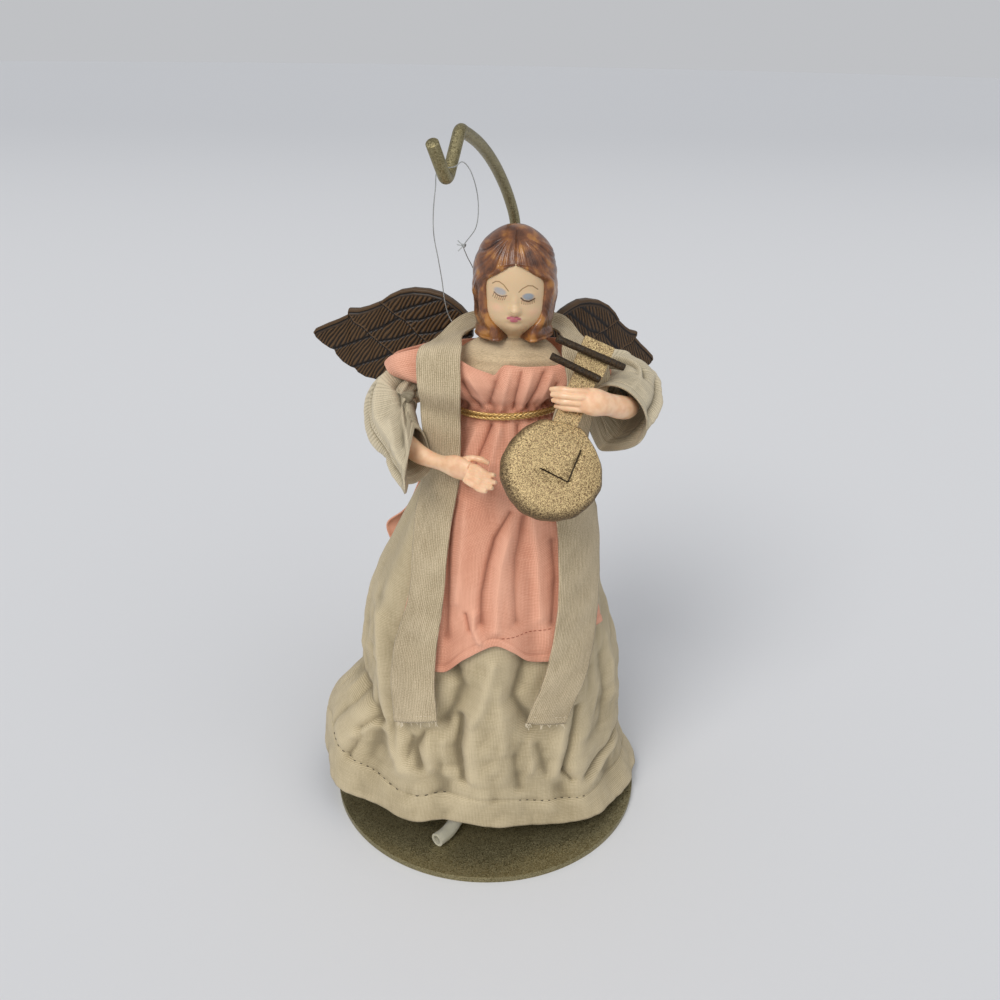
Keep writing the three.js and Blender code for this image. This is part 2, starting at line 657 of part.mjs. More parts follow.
function conePiece() {
  const foot = plateThickness + clearance;
  const profile = [
    new THREE.Vector2(coneBottomRadius - coneWall, foot), new THREE.Vector2(coneBottomRadius, foot),
    new THREE.Vector2(coneTopRadius, coneTop), new THREE.Vector2(coneTopRadius - coneWall, coneTop),
    new THREE.Vector2(coneBottomRadius - coneWall, foot),
  ];
  const cone = mergeVertices(stripped(new THREE.LatheGeometry(profile, 40)));
  cone.rotateX(PI / 2);
  const centre = at(coneCentreShare);
  cone.translate(centre.x, centre.y, 0);
  return cone;
}

function stripped(geometry) {
  geometry.deleteAttribute('normal');
  geometry.deleteAttribute('uv');
  return geometry;
}

// The clear tube lies down the front of the cone and bends out under the hem
const tubeShares = [
  [0.008, 0.616], [0.004, 0.50], [0, 0.375], [-0.004, 0.245], [-0.008, 0.15],
];
const tubeTailShares = [[-0.022, 0.135, 0.068], [-0.044, 0.50, 0.027], [-0.062, 0.786, 0.0135], [-0.079, 1, 0]];

function tubePiece() {
  const centre = at(coneCentreShare);
  const radius = tubeDiameter / 2;
  const slant = hypot(coneTop, coneBottomRadius - coneTopRadius) / coneTop;
  const down = tubeShares.map(([x, z]) => {
    const height = plateThickness + z * figureHeight;
    const coneHere = mix(coneBottomRadius, coneTopRadius, (height - plateThickness) / (coneTop - plateThickness));
    return new THREE.Vector3(x * figureHeight, centre.y - coneHere - slant * (radius + clearance) - coneWall / 2, height);
  });
  const lowest = plateThickness + radius + 1.4 * clearance;
  const tail = tubeTailShares.map(([x, reach, z]) => new THREE.Vector3(
    x * figureHeight, centre.y - coneBottomRadius - reach * tubeReach, max(at([0, 0, z]).z, lowest)));
  const line = smoothLine([...down, ...tail], 18);
  return wall(sweep(line, () => circle(radius, 10)), sweep(line, () => circle(tubeBore / 2, 10)));
}

// The head: face, hair and neck are one moulding, turned about an upright line.
// Heights are shares of the figure; widths and depths are shares of the hair's half width.
const headCentreShare = [0.0343, 0];
const headLevels = [1, 0.9975, 0.990, 0.979, 0.966, 0.949, 0.932, 0.915, 0.898, 0.881, 0.865, 0.852, 0.842, 0.836, 0.834, 0.82, 0.7965];
const headKeys = headLevels.slice().reverse();
const hairHalfShares = [0.02, 0.24, 0.48, 0.69, 0.84, 0.945, 0.985, 1, 1, 0.975, 0.945, 0.92, 0.90, 0.86, 0.35, 0.343, 0.343];
const hairFrontShares = [0.02, 0.26, 0.48, 0.68, 0.83, 0.945, 0.97, 0.95, 0.92, 0.89, 0.87, 0.85, 0.83, 0.78, 0.35, 0.343, 0.343];
const hairBackShares = [0.02, 0.22, 0.44, 0.64, 0.79, 0.90, 0.945, 0.95, 0.93, 0.90, 0.88, 0.87, 0.86, 0.82, 0.35, 0.343, 0.343];
const faceHalfShares = [0.02, 0.24, 0.46, 0.64, 0.76, 0.82, 0.84, 0.84, 0.83, 0.80, 0.66, 0.45, 0.36, 0.345, 0.343, 0.343, 0.343];
const faceFrontShares = [0.02, 0.24, 0.46, 0.66, 0.80, 0.90, 0.955, 0.955, 0.93, 0.93, 0.86, 0.62, 0.40, 0.345, 0.343, 0.343, 0.343];
const openKeys = [0.834, 0.842, 0.852, 0.862, 0.872, 0.890, 0.910, 0.925, 0.931, 0.938, 0.949, 0.953];
const openShares = [0.30, 0.33, 0.36, 0.45, 0.56, 0.63, 0.665, 0.65, 0.56, 0.38, 0.10, -0.2];
// Nose, lips and chin: side shift, height, spread across, spread up, and how far out
const faceBumps = [
  { side: 0, height: 0.889, across: 0.11, up: 0.0075, out: 0.17 },
  { side: 0, height: 0.902, across: 0.07, up: 0.010, out: 0.07 },
  { side: 0, height: 0.874, across: 0.15, up: 0.0035, out: 0.06 },
  { side: 0, height: 0.859, across: 0.20, up: 0.006, out: 0.06 },
  { side: -0.33, height: 0.906, across: 0.13, up: 0.006, out: 0.03 },
  { side: 0.33, height: 0.906, across: 0.13, up: 0.006, out: 0.03 },
];

function headRadius(a, share) {
  const pick = (table) => through(headKeys, table.slice().reverse(), share);
  const oval = (half, depth) => 1 / hypot(sin(a) / half, cos(a) / depth);
  const front = cos(a) > 0;
  const hair = oval(pick(hairHalfShares), pick(front ? hairFrontShares : hairBackShares));
  if (!front) return hair * hairHalfWidth;
  let face = oval(pick(faceHalfShares), pick(faceFrontShares));
  for (const spot of faceBumps) {
    const side = face * sin(a) - spot.side;
    face += spot.out * exp(-((side / spot.across) ** 2) - ((share - spot.height) / spot.up) ** 2);
  }
  const open = through(openKeys, openShares, share);
  const inside = step(open + 0.05, open - 0.05, abs(sin(a) * hair));
  return mix(hair, face, inside) * hairHalfWidth;
}

function headPiece() {
  const columns = 36;
  const neckTop = headLevels[headLevels.length - 2];
  const shares = [];
  headLevels.forEach((share, i) => {
    shares.push(share);
    const next = headLevels[i + 1];
    if (next && share < 0.97 && share > 0.85) shares.push(mix(share, next, 0.5));
  });
  const rings = shares.map((share) => Array.from({ length: columns }, (_, i) => {
    const a = 2 * PI * i / columns;
    const radius = headRadius(a, share);
    const settle = share <= neckTop ? neckRadius : radius;
    return at([headCentreShare[0], headCentreShare[1], share])
      .add(new THREE.Vector3(settle * sin(a), -settle * cos(a), 0));
  }));
  return cut(loft(rings), [dowelPiece(clearance)]);
}

// Sleeves: a linen tube for each arm, with a wide open cuff
const sleeveRightShares = [
  [-0.048, 0.004, 0.768, 0.024], [-0.090, 0.004, 0.761, 0.028], [-0.130, 0.004, 0.750, 0.031],
  [-0.158, -0.006, 0.730, 0.036], [-0.160, -0.036, 0.703, 0.0375], [-0.138, -0.074, 0.682, 0.0385],
  [-0.118, -0.104, 0.6665, 0.042],
];
const sleeveLeftShares = [
  [0.096, 0.004, 0.772, 0.026], [0.145, 0.004, 0.776, 0.032], [0.190, 0.0, 0.776, 0.037],
  [0.213, -0.030, 0.763, 0.044], [0.207, -0.062, 0.750, 0.050], [0.187, -0.092, 0.738, 0.0555],
];

function sleevePoint(rows, across, droop, ruck, pinch) {
  const middle = new THREE.CatmullRomCurve3(rows.map(at), false, 'centripetal');
  const keys = rows.map((_, i) => i / (rows.length - 1));
  const lines = 40;
  const frames = [];
  let up = new THREE.Vector3(0, 0, 1);
  for (let i = 0; i <= lines; i += 1) {
    const along = middle.getTangent(min(i / lines, 1));
    up = up.clone().sub(along.clone().multiplyScalar(up.dot(along))).normalize();
    frames.push({ along, up });
  }
  return (u, v) => {
    const t = min(max(v, 0), 1);
    const place = t * lines;
    const i = min(Math.floor(place), lines - 1);
    const tall = frames[i].up.clone().lerp(frames[i + 1].up, place - i).normalize();
    const along = frames[i].along.clone().lerp(frames[i + 1].along, place - i).normalize();
    const side = new THREE.Vector3().crossVectors(tall, along);
    const a = 2 * PI * u;
    const radius = through(keys, rows.map((row) => row[3]), t) * figureHeight;
    const folds = 1 + ruck * sin(PI * t) * cos(3 * a + 9 * t) * 0.5 + ruck * sin(PI * t) * cos(14 * t + a) * 0.5;
    const low = cos(a) < 0 ? 1 + droop * step(0.55, 1, t) : 1;
    const narrow = 1 - pinch * max(-cos(a), 0) ** 2 * step(0.3, 1, t);
    const point = middle.getPoint(t);
    const extra = v - t;
    return point.add(along.multiplyScalar(extra * radius))
      .add(tall.multiplyScalar(radius * folds * low * cos(a)))
      .add(side.multiplyScalar(radius * folds * across * narrow * sin(a)));
  };
}

// Forearms with their hands: a tapered arm, a palm and five fingers, joined
function limb(points, radii, flatten, sides, steps) {
  const line = smoothLine(points, steps);
  const keys = radii.map((_, i) => i / (radii.length - 1));
  return loft(sweep(line, (t) => {
    const radius = through(keys, radii, t);
    const flat = through(keys, flatten, t);
    return circle(radius, sides).map(([a, b]) => [a, b * flat]);
  }));
}

const fingerRadius = 0.44 * wristRadius;
function finger(points) {
  return limb(points, [fingerRadius, fingerRadius, 0.9 * fingerRadius, 0.55 * fingerRadius], [1, 1, 1, 1], 6, 5);
}

// Right hand, open and palm up, its fingertips at the lute's side
const rightArmShares = [
  [-0.158, -0.034, 0.699], [-0.130, -0.075, 0.686], [-0.104, -0.100, 0.6755], [-0.072, -0.122, 0.672],
  [-0.045, -0.141, 0.673], [-0.026, -0.156, 0.673],
];
const rightFingerShares = [
  [[-0.040, -0.137, 0.682], [-0.022, -0.146, 0.690], [-0.010, -0.150, 0.689], [0.001, -0.153, 0.685]],
  [[-0.030, -0.150, 0.679], [-0.014, -0.163, 0.681], [-0.002, -0.174, 0.677], [0.010, -0.183, 0.680]],
  [[-0.030, -0.156, 0.674], [-0.014, -0.170, 0.673], [-0.001, -0.182, 0.671], [0.012, -0.193, 0.673]],
  [[-0.031, -0.160, 0.669], [-0.016, -0.174, 0.666], [-0.004, -0.186, 0.664], [0.007, -0.197, 0.666]],
  [[-0.034, -0.162, 0.664], [-0.021, -0.174, 0.660], [-0.011, -0.184, 0.658], [-0.002, -0.193, 0.659]],
];

function rightForearmPiece() {
  const w = wristRadius;
  const arm = limb(rightArmShares.map(at), [0.7 * w, 1.35 * w, 1.25 * w, w, 1.7 * w, 1.2 * w],
    [1, 1, 1, 0.95, 0.7, 0.7], 10, 12);
  return join([arm, ...rightFingerShares.map((row) => finger(row.map(at)))]);
}

// The lute lies back in the left arm: its own frame has x across, y up the neck and z out of its face
const luteCentreShare = [0.0885, -0.203, 0.6965];
const luteTilt = 38 * degrees;
const luteTurn = 10 * degrees;
const luteLean = -17 * degrees;

function luteFrame() {
  const out = new THREE.Vector3(sin(luteTurn) * cos(luteTilt), -cos(luteTurn) * cos(luteTilt), sin(luteTilt));
  const across = new THREE.Vector3(cos(luteTurn), sin(luteTurn), 0);
  const up = new THREE.Vector3().crossVectors(out, across);
  const frame = new THREE.Matrix4().makeBasis(across, up, out);
  frame.multiply(new THREE.Matrix4().makeRotationZ(luteLean));
  frame.setPosition(at(luteCentreShare));
  return frame;
}

// The outline of the soundbox as angles and shares of its half width, with blunt corners
const luteOutlineShares = [
  [90, 1.02], [66, 1.06], [40, 0.98], [18, 1.0], [-6, 1.03], [-28, 1.0], [-50, 1.0], [-72, 0.97], [-92, 0.98],
  [-114, 1.0], [-136, 0.98], [-160, 1.0], [178, 1.0], [156, 0.98], [134, 1.0], [112, 1.05],
];

function luteBodyPiece() {
  const corners = luteOutlineShares.map(([angle, share]) => {
    const radius = share * luteHalfWidth - luteBevel;
    return new THREE.Vector2(radius * cos(angle * degrees), radius * sin(angle * degrees));
  });
  const box = new THREE.ExtrudeGeometry(new THREE.Shape(corners), {
    depth: luteThickness - 2 * luteBevel, bevelEnabled: true, bevelThickness: luteBevel, bevelSize: luteBevel, bevelSegments: 2,
  });
  box.translate(0, 0, -luteThickness / 2 + luteBevel);
  const seat = luteNeckBlock(clearance);
  return cut(stripped(box), [seat]).applyMatrix4(luteFrame());
}

// The neck starts in a notch of the soundbox and widens to a square pegbox
const neckStart = 0.72 * luteHalfWidth;
const pegboxLength = 0.27 * luteNeckLength;
const luteNeckShift = 0.2 * luteHalfWidth;
const luteNeckLean = -11 * degrees;
const gripPlace = neckStart + 0.41 * luteNeckLength;  // the neck leans about the hand that holds it

function luteNeckBlock(grown) {
  const half = luteNeckWidth / 2 + grown;
  const top = neckStart + luteNeckLength + grown;
  const wide = 1.18 * half;
  const outline = new THREE.Shape([
    new THREE.Vector2(-half, neckStart - grown), new THREE.Vector2(half, neckStart - grown),
    new THREE.Vector2(half, top - pegboxLength), new THREE.Vector2(wide, top - 0.8 * pegboxLength),
    new THREE.Vector2(wide, top), new THREE.Vector2(-wide, top),
    new THREE.Vector2(-wide, top - 0.8 * pegboxLength), new THREE.Vector2(-half, top - pegboxLength),
  ]);
  const thickness = luteNeckThickness + 2 * grown;
  const block = new THREE.ExtrudeGeometry(outline, { depth: thickness, bevelEnabled: false });
  block.translate(0, -gripPlace, luteThickness / 2 - luteBevel - thickness + grown);
  block.rotateZ(luteNeckLean);
  block.translate(luteNeckShift, gripPlace, 0);
  return stripped(block);
}

const luteNeckPiece = () => luteNeckBlock(0).applyMatrix4(luteFrame());

// Two sticks lie across the neck: share of its length, lean, shift and length
const upperBarShares = [0.83, -10, 0.186, 1];
const lowerBarShares = [0.65, -13, 0.026, 0.73];

function luteBarPiece([share, lean, shift, lengthShare]) {
  const radius = luteBarDiameter / 2;
  const bar = stripped(new THREE.CylinderGeometry(radius, radius, lengthShare * luteBarLength, 12));
  bar.rotateZ(PI / 2 + lean * degrees);
  bar.translate(shift * luteBarLength, neckStart + share * luteNeckLength,
    luteThickness / 2 - luteBevel + clearance + radius);
  return bar.applyMatrix4(luteFrame());
}

// Left hand: a fist round the neck of the lute, its bore cut clear of the neck
const leftArmShares = [
  [0.213, -0.034, 0.737], [0.207, -0.075, 0.747], [0.1915, -0.115, 0.761],
  [0.1690, -0.1385, 0.7735], [0.1476, -0.1524, 0.7819], [0.1275, -0.1545, 0.7867],
];
const leftFingerShares = [
  [[0.1441, -0.1524, 0.7952], [0.1182, -0.1588, 0.7999], [0.1003, -0.1545, 0.8003], [0.0853, -0.1459, 0.7978]],
  [[0.1441, -0.1567, 0.7893], [0.1169, -0.1631, 0.7925], [0.1004, -0.1588, 0.7929], [0.0869, -0.1481, 0.7904]],
  [[0.1446, -0.1567, 0.7804], [0.1187, -0.1631, 0.7837], [0.1021, -0.1588, 0.7841], [0.0886, -0.1481, 0.7823]],
  [[0.1452, -0.1545, 0.7722], [0.1221, -0.1609, 0.7741], [0.1055, -0.1567, 0.7745], [0.0933, -0.1459, 0.7726]],
];

function leftForearmPiece() {
  const w = wristRadius;
  const arm = limb(leftArmShares.map(at), [0.7 * w, 1.35 * w, 1.5 * w, 1.45 * w, 1.75 * w, 1.5 * w],
    [1, 1, 1, 0.95, 0.8, 0.7], 10, 12);
  const hand = join([arm, ...leftFingerShares.map((row) => finger(row.map(at)))]);
  return cut(hand, [luteNeckBlock(clearance).applyMatrix4(luteFrame())]);
}

// Wings: each is one moulding of three tiers of long feathers, each tier standing over the next.
// Plane coordinates are shares of the span, out from the root and up
const wingOutlineShares = [
  [0, 0.085], [0.074, 0.161], [0.131, 0.201], [0.196, 0.237], [0.278, 0.255], [0.377, 0.257], [0.461, 0.239],
  [0.537, 0.202], [0.598, 0.157], [0.684, 0.119], [0.745, 0.1], [0.812, 0.096], [0.822, 0.055], [0.895, 0.017],
  [0.967, -0.014], [1.048, -0.054], [1.067, -0.081], [1.052, -0.113], [1.01, -0.149], [0.959, -0.179],
  [0.929, -0.187], [0.917, -0.219], [0.876, -0.263], [0.824, -0.293], [0.794, -0.301], [0.773, -0.328],
  [0.722, -0.354], [0.669, -0.361], [0.60, -0.38], [0.50, -0.37], [0.36, -0.31], [0.20, -0.21], [0.06, -0.10], [0, -0.03],
];
const middleTierShares = [
  [0.04, 0.11], [0.196, 0.232], [0.378, 0.252], [0.535, 0.197], [0.684, 0.114], [0.745, 0.095], [0.808, 0.086],
  [0.783, 0.008], [0.724, -0.021], [0.675, -0.068], [0.625, -0.106], [0.574, -0.144], [0.524, -0.183], [0.46, -0.25],
  [0.30, -0.22], [0.08, -0.06],
];
const upperTierShares = [
  [0.07, 0.135], [0.196, 0.227], [0.278, 0.246], [0.377, 0.248], [0.461, 0.23], [0.535, 0.192], [0.59, 0.15],
  [0.557, 0.123], [0.499, 0.078], [0.441, 0.05], [0.4, 0.012], [0.358, -0.035], [0.317, -0.065], [0.25, -0.13],
  [0.10, -0.03],
];

function wingPlate(shares, tier) {
  const edge = 0.3 * featherStep;
  const outline = new THREE.Shape(shares.map(([p, q]) => new THREE.Vector2(p * wingSpan, q * wingSpan)));
  const depth = wingThickness + tier * featherStep - 2 * edge;
  const plate = stripped(new THREE.ExtrudeGeometry(outline, {
    depth, bevelEnabled: true, bevelThickness: edge, bevelSize: edge, bevelOffset: -edge, bevelSegments: 1,
  }));
  plate.rotateX(PI / 2);
  plate.translate(0, wingThickness / 2 - edge, 0);
  return plate;
}

// Feathers: root end, tip end, half width, and the tier that each is raised on
const featherShares = [
  [[0.70, 0.005], [1.045, -0.085], 0.062, 0], [[0.58, -0.115], [0.905, -0.235], 0.058, 0],
  [[0.44, -0.20], [0.755, -0.335], 0.054, 0], [[0.48, 0.105], [0.80, 0.045], 0.050, 1],
  [[0.42, 0.005], [0.665, -0.06], 0.045, 1], [[0.32, -0.075], [0.565, -0.135], 0.045, 1],
  [[0.12, 0.16], [0.57, 0.145], 0.052, 2], [[0.10, 0.10], [0.475, 0.065], 0.045, 2],
  [[0.09, 0.04], [0.40, 0.0], 0.042, 2], [[0.10, -0.02], [0.325, -0.06], 0.038, 2],
];

function featherSolid([root, tip, width, tier]) {
  const span = wingSpan;
  const from = new THREE.Vector2(root[0], root[1]).multiplyScalar(span);
  const to = new THREE.Vector2(tip[0], tip[1]).multiplyScalar(span);
  const along = to.clone().sub(from);
  const across = new THREE.Vector2(-along.y, along.x).normalize();
  const runs = [0, 0.3, 0.75, 0.93, 1];
  const widths = [0.6, 0.95, 0.95, 0.62, 0.16];
  const bows = 0.3 * width * span;
  const rings = runs.map((run, i) => {
    const half = widths[i] * width * span;
    const middle = from.clone().add(along.clone().multiplyScalar(run));
    const bow = bows * sin(PI * run);
    const place = (side, depth) => new THREE.Vector3(
      middle.x + across.x * (side * half + bow), depth, middle.y + across.y * (side * half + bow));
    const face = -tier * featherStep - wingThickness / 2;
    const front = face - 0.5 * featherStep;
    const edge = face + 0.2 * featherStep;
    return [place(-1, 0), place(-1, edge), place(0, front), place(1, edge), place(1, 0)];
  });
  return loft(rings);
}

// The leading edge: a raised rib along the top of the upper tier
const ribShares = [[0.03, 0.10], [0.10, 0.165], [0.196, 0.222], [0.30, 0.236], [0.40, 0.228], [0.50, 0.195], [0.575, 0.15]];

function wingPiece(side, sweepAngle, droopAngle) {
  const ribRadius = 0.75 * featherStep;
  const ribLine = smoothLine(ribShares.map(([p, q]) => new THREE.Vector3(
    p * wingSpan, -wingThickness / 2 - 2 * featherStep, q * wingSpan)), 10);
  const rib = loft(sweep(ribLine, () => circle(ribRadius, 6)));
  const root = at(side < 0 ? wingRootLeftShare : wingRootRightShare);
  const plates = [wingOutlineShares, middleTierShares, upperTierShares].map(wingPlate);
  const wing = join([...plates, rib, ...featherShares.map(featherSolid)]);
  wing.applyMatrix4(new THREE.Matrix4().makeRotationY(droopAngle));
  wing.applyMatrix4(new THREE.Matrix4().makeRotationZ(sweepAngle));
  if (side < 0) wing.scale(-1, 1, 1);
  wing.translate(root.x, root.y, root.z);
  return side < 0 ? turnedOut(wing) : wing;
}

function turnedOut(geometry) {
  const index = Array.from(geometry.index.array);
  for (let i = 0; i < index.length; i += 3) {
    [index[i + 1], index[i + 2]] = [index[i + 2], index[i + 1]];
  }
  geometry.setIndex(index);
  return geometry;
}

const wingDepthShare = chestBackShares[3] + wingSeat / figureHeight;
const wingRootLeftShare = [-0.030, wingDepthShare, 0.812];
const wingRootRightShare = [0.088, wingDepthShare, 0.812];
const wingSweepLeft = 12 * degrees;
const wingSweepRight = 40 * degrees;
const wingDroopRight = 15 * degrees;

// The wing bar: a strip of the same plastic on the tunic's back, that both wings are fixed to
function wingBarPiece() {
  const left = at(wingRootLeftShare);
  const right = at(wingRootRightShare);
  const barThickness = 0.8 * wingThickness;
  const half = (right.x - left.x) / 2 + 0.08 * wingSpan;
  const tall = 0.12 * wingSpan;
  const bar = stripped(new THREE.BoxGeometry(2 * half, barThickness, tall));
  bar.translate((left.x + right.x) / 2, left.y - wingThickness / 2 - 2 * featherStep - barThickness, left.z - 0.8 * tall);
  return bar;
}

// The fishing line: a loop over the hook, tied in a knot, with its two ends behind the stole
const lineRoute = [
  [-14.2, 13.6, 196.5], [-15.9, 13, 200], [-17.1, 10.5, 206], [-17.7, 6, 214], [-18.5, -1, 223], [-19.4, -9, 233],
  [-18.9, -16, 242], [-17.8, -21.5, 249.5], [-16.9, -24.3, 255], [-14.1, -25.2, 256], [-11.7, -25.8, 256.4],
  [-9.4, -20.5, 257.3], [-6.9, -14.5, 253.6], [-4.8, -6, 243.2], [-5.6, -2, 234.2], [-9.8, 2, 227.2], [-9.3, 5, 224],
  [-7.6, 9.5, 219.4], [-4.4, 13.8, 212.5], [0.4, 14.4, 207],
];
const knotIndex = 15;

function linePiece(grown) {
  const route = new THREE.CatmullRomCurve3(lineRoute.map((p) => new THREE.Vector3(...p)), false, 'centripetal');
  const section = new THREE.Shape(circle(lineDiameter / 2 + grown, 8).map(([x, y]) => new THREE.Vector2(x, y)));
  return stripped(new THREE.ExtrudeGeometry(section, { steps: 44, extrudePath: route, bevelEnabled: false }));
}

// The knot sits on the line, with its two cut ends standing out
function knotPiece() {
  const place = new THREE.Vector3(...lineRoute[knotIndex]);
  const ball = stripped(new THREE.SphereGeometry(knotRadius, 10, 8));
  ball.translate(place.x, place.y, place.z);
  const ends = [[-1, 0.15, 0.55], [-0.8, -0.3, -0.5]].map((way) => {
    const along = new THREE.Vector3(...way).normalize();
    const from = place.clone().add(along.clone().multiplyScalar(0.6 * knotRadius));
    const to = place.clone().add(along.clone().multiplyScalar(knotRadius + cutEndLength));
    return loft(sweep([from, to], () => circle(lineDiameter / 2, 6)));
  });
  return cut(join([ball, ...ends]), [linePiece(clearance)]);
}

// Assembly

add('stand_plate', platePiece(), colours.bronzePaint);
add('stand_rod', rodPiece(), colours.bronzePaint);
add('tree_cone', conePiece(), colours.card);
add('clear_tube', tubePiece(), colours.clearPlastic);
add('torso', torsoPiece(), colours.foam);
add('neck_dowel', dowelPiece(0), colours.wood);
add('arm_wire', armWirePiece(0, 8), colours.wire);
add('head', headPiece(), colours.paintedHead);
add('bodice', bodicePiece(), colours.knit);
add('skirt', skirtPiece(), colours.beigeLinen);
add('tunic_front', tunicFrontPiece(), colours.pinkLinen);
add('tunic_back', tunicBackPiece(), colours.pinkLinen);
add('belt', beltPiece(), colours.goldCord);
add('stole', stolePiece(), colours.knit);
add('sleeve_right', clothTube(sleevePoint(sleeveRightShares, 0.82, 0.35, 0.14, 0.1), 20, 9), colours.sageLinen);
add('sleeve_left', clothTube(sleevePoint(sleeveLeftShares, 0.78, 0.30, 0.10, 0.4), 20, 9), colours.sageLinen);
add('forearm_right', rightForearmPiece(), colours.handPlastic);
add('forearm_left', leftForearmPiece(), colours.handPlastic);
add('lute_body', luteBodyPiece(), colours.glitter);
add('lute_neck', luteNeckPiece(), colours.glitter);
add('lute_bar_upper', luteBarPiece(upperBarShares), colours.darkGlitter);
add('lute_bar_lower', luteBarPiece(lowerBarShares), colours.darkGlitter);
add('wing_bar', wingBarPiece(), colours.wingPlastic);
add('wing_left', wingPiece(-1, wingSweepLeft, 0), colours.wingPlastic);
add('wing_right', wingPiece(1, wingSweepRight, wingDroopRight), colours.wingPlastic);
add('hang_line', linePiece(0), colours.clearPlastic);
add('line_knot', knotPiece(), colours.clearPlastic);

export default assembly;
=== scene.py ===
# %% [markdown]
# # Angel tree topper with a lute, on its hanger stand
#
# A small standing angel for the top of a Christmas tree, with moulded wings and a glittered
# lute. It hangs by a loop of fishing line on the painted stand that it is sold on. The packed
# CAD model is the frame: every piece is placed by its numbers, in metres, with Z up.

# %% Load the frame
import math
from math import cos, pi, radians, sin

import bmesh
import bpy
import numpy as np
from mathutils import Matrix, Vector


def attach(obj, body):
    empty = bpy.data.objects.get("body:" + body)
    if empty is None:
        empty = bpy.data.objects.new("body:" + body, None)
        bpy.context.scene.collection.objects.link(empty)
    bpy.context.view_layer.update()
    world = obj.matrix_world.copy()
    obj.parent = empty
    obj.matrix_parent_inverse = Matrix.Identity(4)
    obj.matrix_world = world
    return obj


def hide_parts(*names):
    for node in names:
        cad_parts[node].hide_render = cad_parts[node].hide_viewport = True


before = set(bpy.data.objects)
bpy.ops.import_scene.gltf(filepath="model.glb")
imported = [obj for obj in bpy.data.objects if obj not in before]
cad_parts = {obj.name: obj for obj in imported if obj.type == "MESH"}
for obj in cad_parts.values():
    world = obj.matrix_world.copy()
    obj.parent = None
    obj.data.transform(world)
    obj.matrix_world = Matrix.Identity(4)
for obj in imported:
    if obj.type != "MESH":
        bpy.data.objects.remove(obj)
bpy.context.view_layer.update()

scene = bpy.context.scene
mm = 0.001

# %% [markdown]
# ## Numbers that the whole figure shares
#
# Everything on the figure is a share of its height above the plate, so that clothes, head and
# arms keep fitting each other. Short tables with smooth lines through them give each outline,
# as a pattern maker writes a garment down.

# %% Shares, steps and smooth tables
figure_height = 0.233
plate_thickness = 0.0024
foot_up = np.array([0.0, 0.0, plate_thickness])


def at(shares):
    return np.asarray(shares, float) * figure_height + foot_up


def height_at(share):
    return share * figure_height + plate_thickness


def mix(a, b, t):
    return a + (b - a) * t


def step(a, b, t):
    s = np.clip((np.asarray(t, float) - a) / (b - a), 0, 1)
    return s * s * (3 - 2 * s)


def bump(t, middle, width):
    return np.exp(-((t - middle) / width) ** 2)


def through(keys, values, t):
    """The smooth line through a table, for an array of places t."""
    k, v = np.asarray(keys, float), np.asarray(values, float)
    slope = np.empty(len(k))
    slope[1:-1] = (v[2:] - v[:-2]) / (k[2:] - k[:-2])
    slope[0] = (v[1] - v[0]) / (k[1] - k[0])
    slope[-1] = (v[-1] - v[-2]) / (k[-1] - k[-2])
    t = np.clip(t, k[0], k[-1])
    i = np.clip(np.searchsorted(k, t, side="right") - 1, 0, len(k) - 2)
    h = k[i + 1] - k[i]
    a = (t - k[i]) / h
    return ((2 * a**3 - 3 * a**2 + 1) * v[i] + (a**3 - 2 * a**2 + a) * h * slope[i]
        + (3 * a**2 - 2 * a**3) * v[i + 1] + (a**3 - a**2) * h * slope[i + 1])


def curve(points, t):
    """Places t from 0 to 1 along a centripetal Catmull-Rom line through the points."""
    p = np.asarray(points, float)
    p = np.vstack([2 * p[0] - p[1], p, 2 * p[-1] - p[-2]])
    place = np.clip(np.asarray(t, float), 0, 1) * (len(p) - 3)
    i = np.minimum(place.astype(int), len(p) - 4)
    w = (place - i)[..., None]
    p0, p1, p2, p3 = (p[i + k] for k in range(4))
    gap = [np.maximum(np.linalg.norm(b - a, axis=-1, keepdims=True), 1e-9) ** 0.5
        for a, b in ((p0, p1), (p1, p2), (p2, p3))]
    t1 = ((p1 - p0) / gap[0] - (p2 - p0) / (gap[0] + gap[1]) + (p2 - p1) / gap[1]) * gap[1]
    t2 = ((p2 - p1) / gap[1] - (p3 - p1) / (gap[1] + gap[2]) + (p3 - p2) / gap[2]) * gap[1]
    return p1 + t1 * w + (3 * (p2 - p1) - 2 * t1 - t2) * w**2 + (2 * (p1 - p2) + t1 + t2) * w**3


def length_of(line):
    return float(np.linalg.norm(np.diff(line, axis=0), axis=1).sum())


def unit(v):
    return v / np.maximum(np.linalg.norm(v, axis=-1, keepdims=True), 1e-12)


def ellipse(a, half, depth):
    """A flat place on an oval; a is the angle in radians from the front toward the angel's left."""
    return np.stack([half * np.sin(a), -depth * np.cos(a)], axis=-1)


def from_line(points, x, y):
    """Distance of each place from a line of points, and the side that it lies on, 1 or -1."""
    nearest, side = np.full(np.broadcast(x, y).shape, np.inf), 0
    for (x0, y0), (x1, y1) in zip(points, points[1:]):
        run, dx, dy = (x1 - x0, y1 - y0), x - x0, y - y0
        t = np.clip((dx * run[0] + dy * run[1]) / (run[0] ** 2 + run[1] ** 2), 0, 1)
        away = np.hypot(dx - t * run[0], dy - t * run[1])
        side = np.where(away < nearest, np.sign(dy * run[0] - dx * run[1]), side)
        nearest = np.minimum(nearest, away)
    return nearest, side


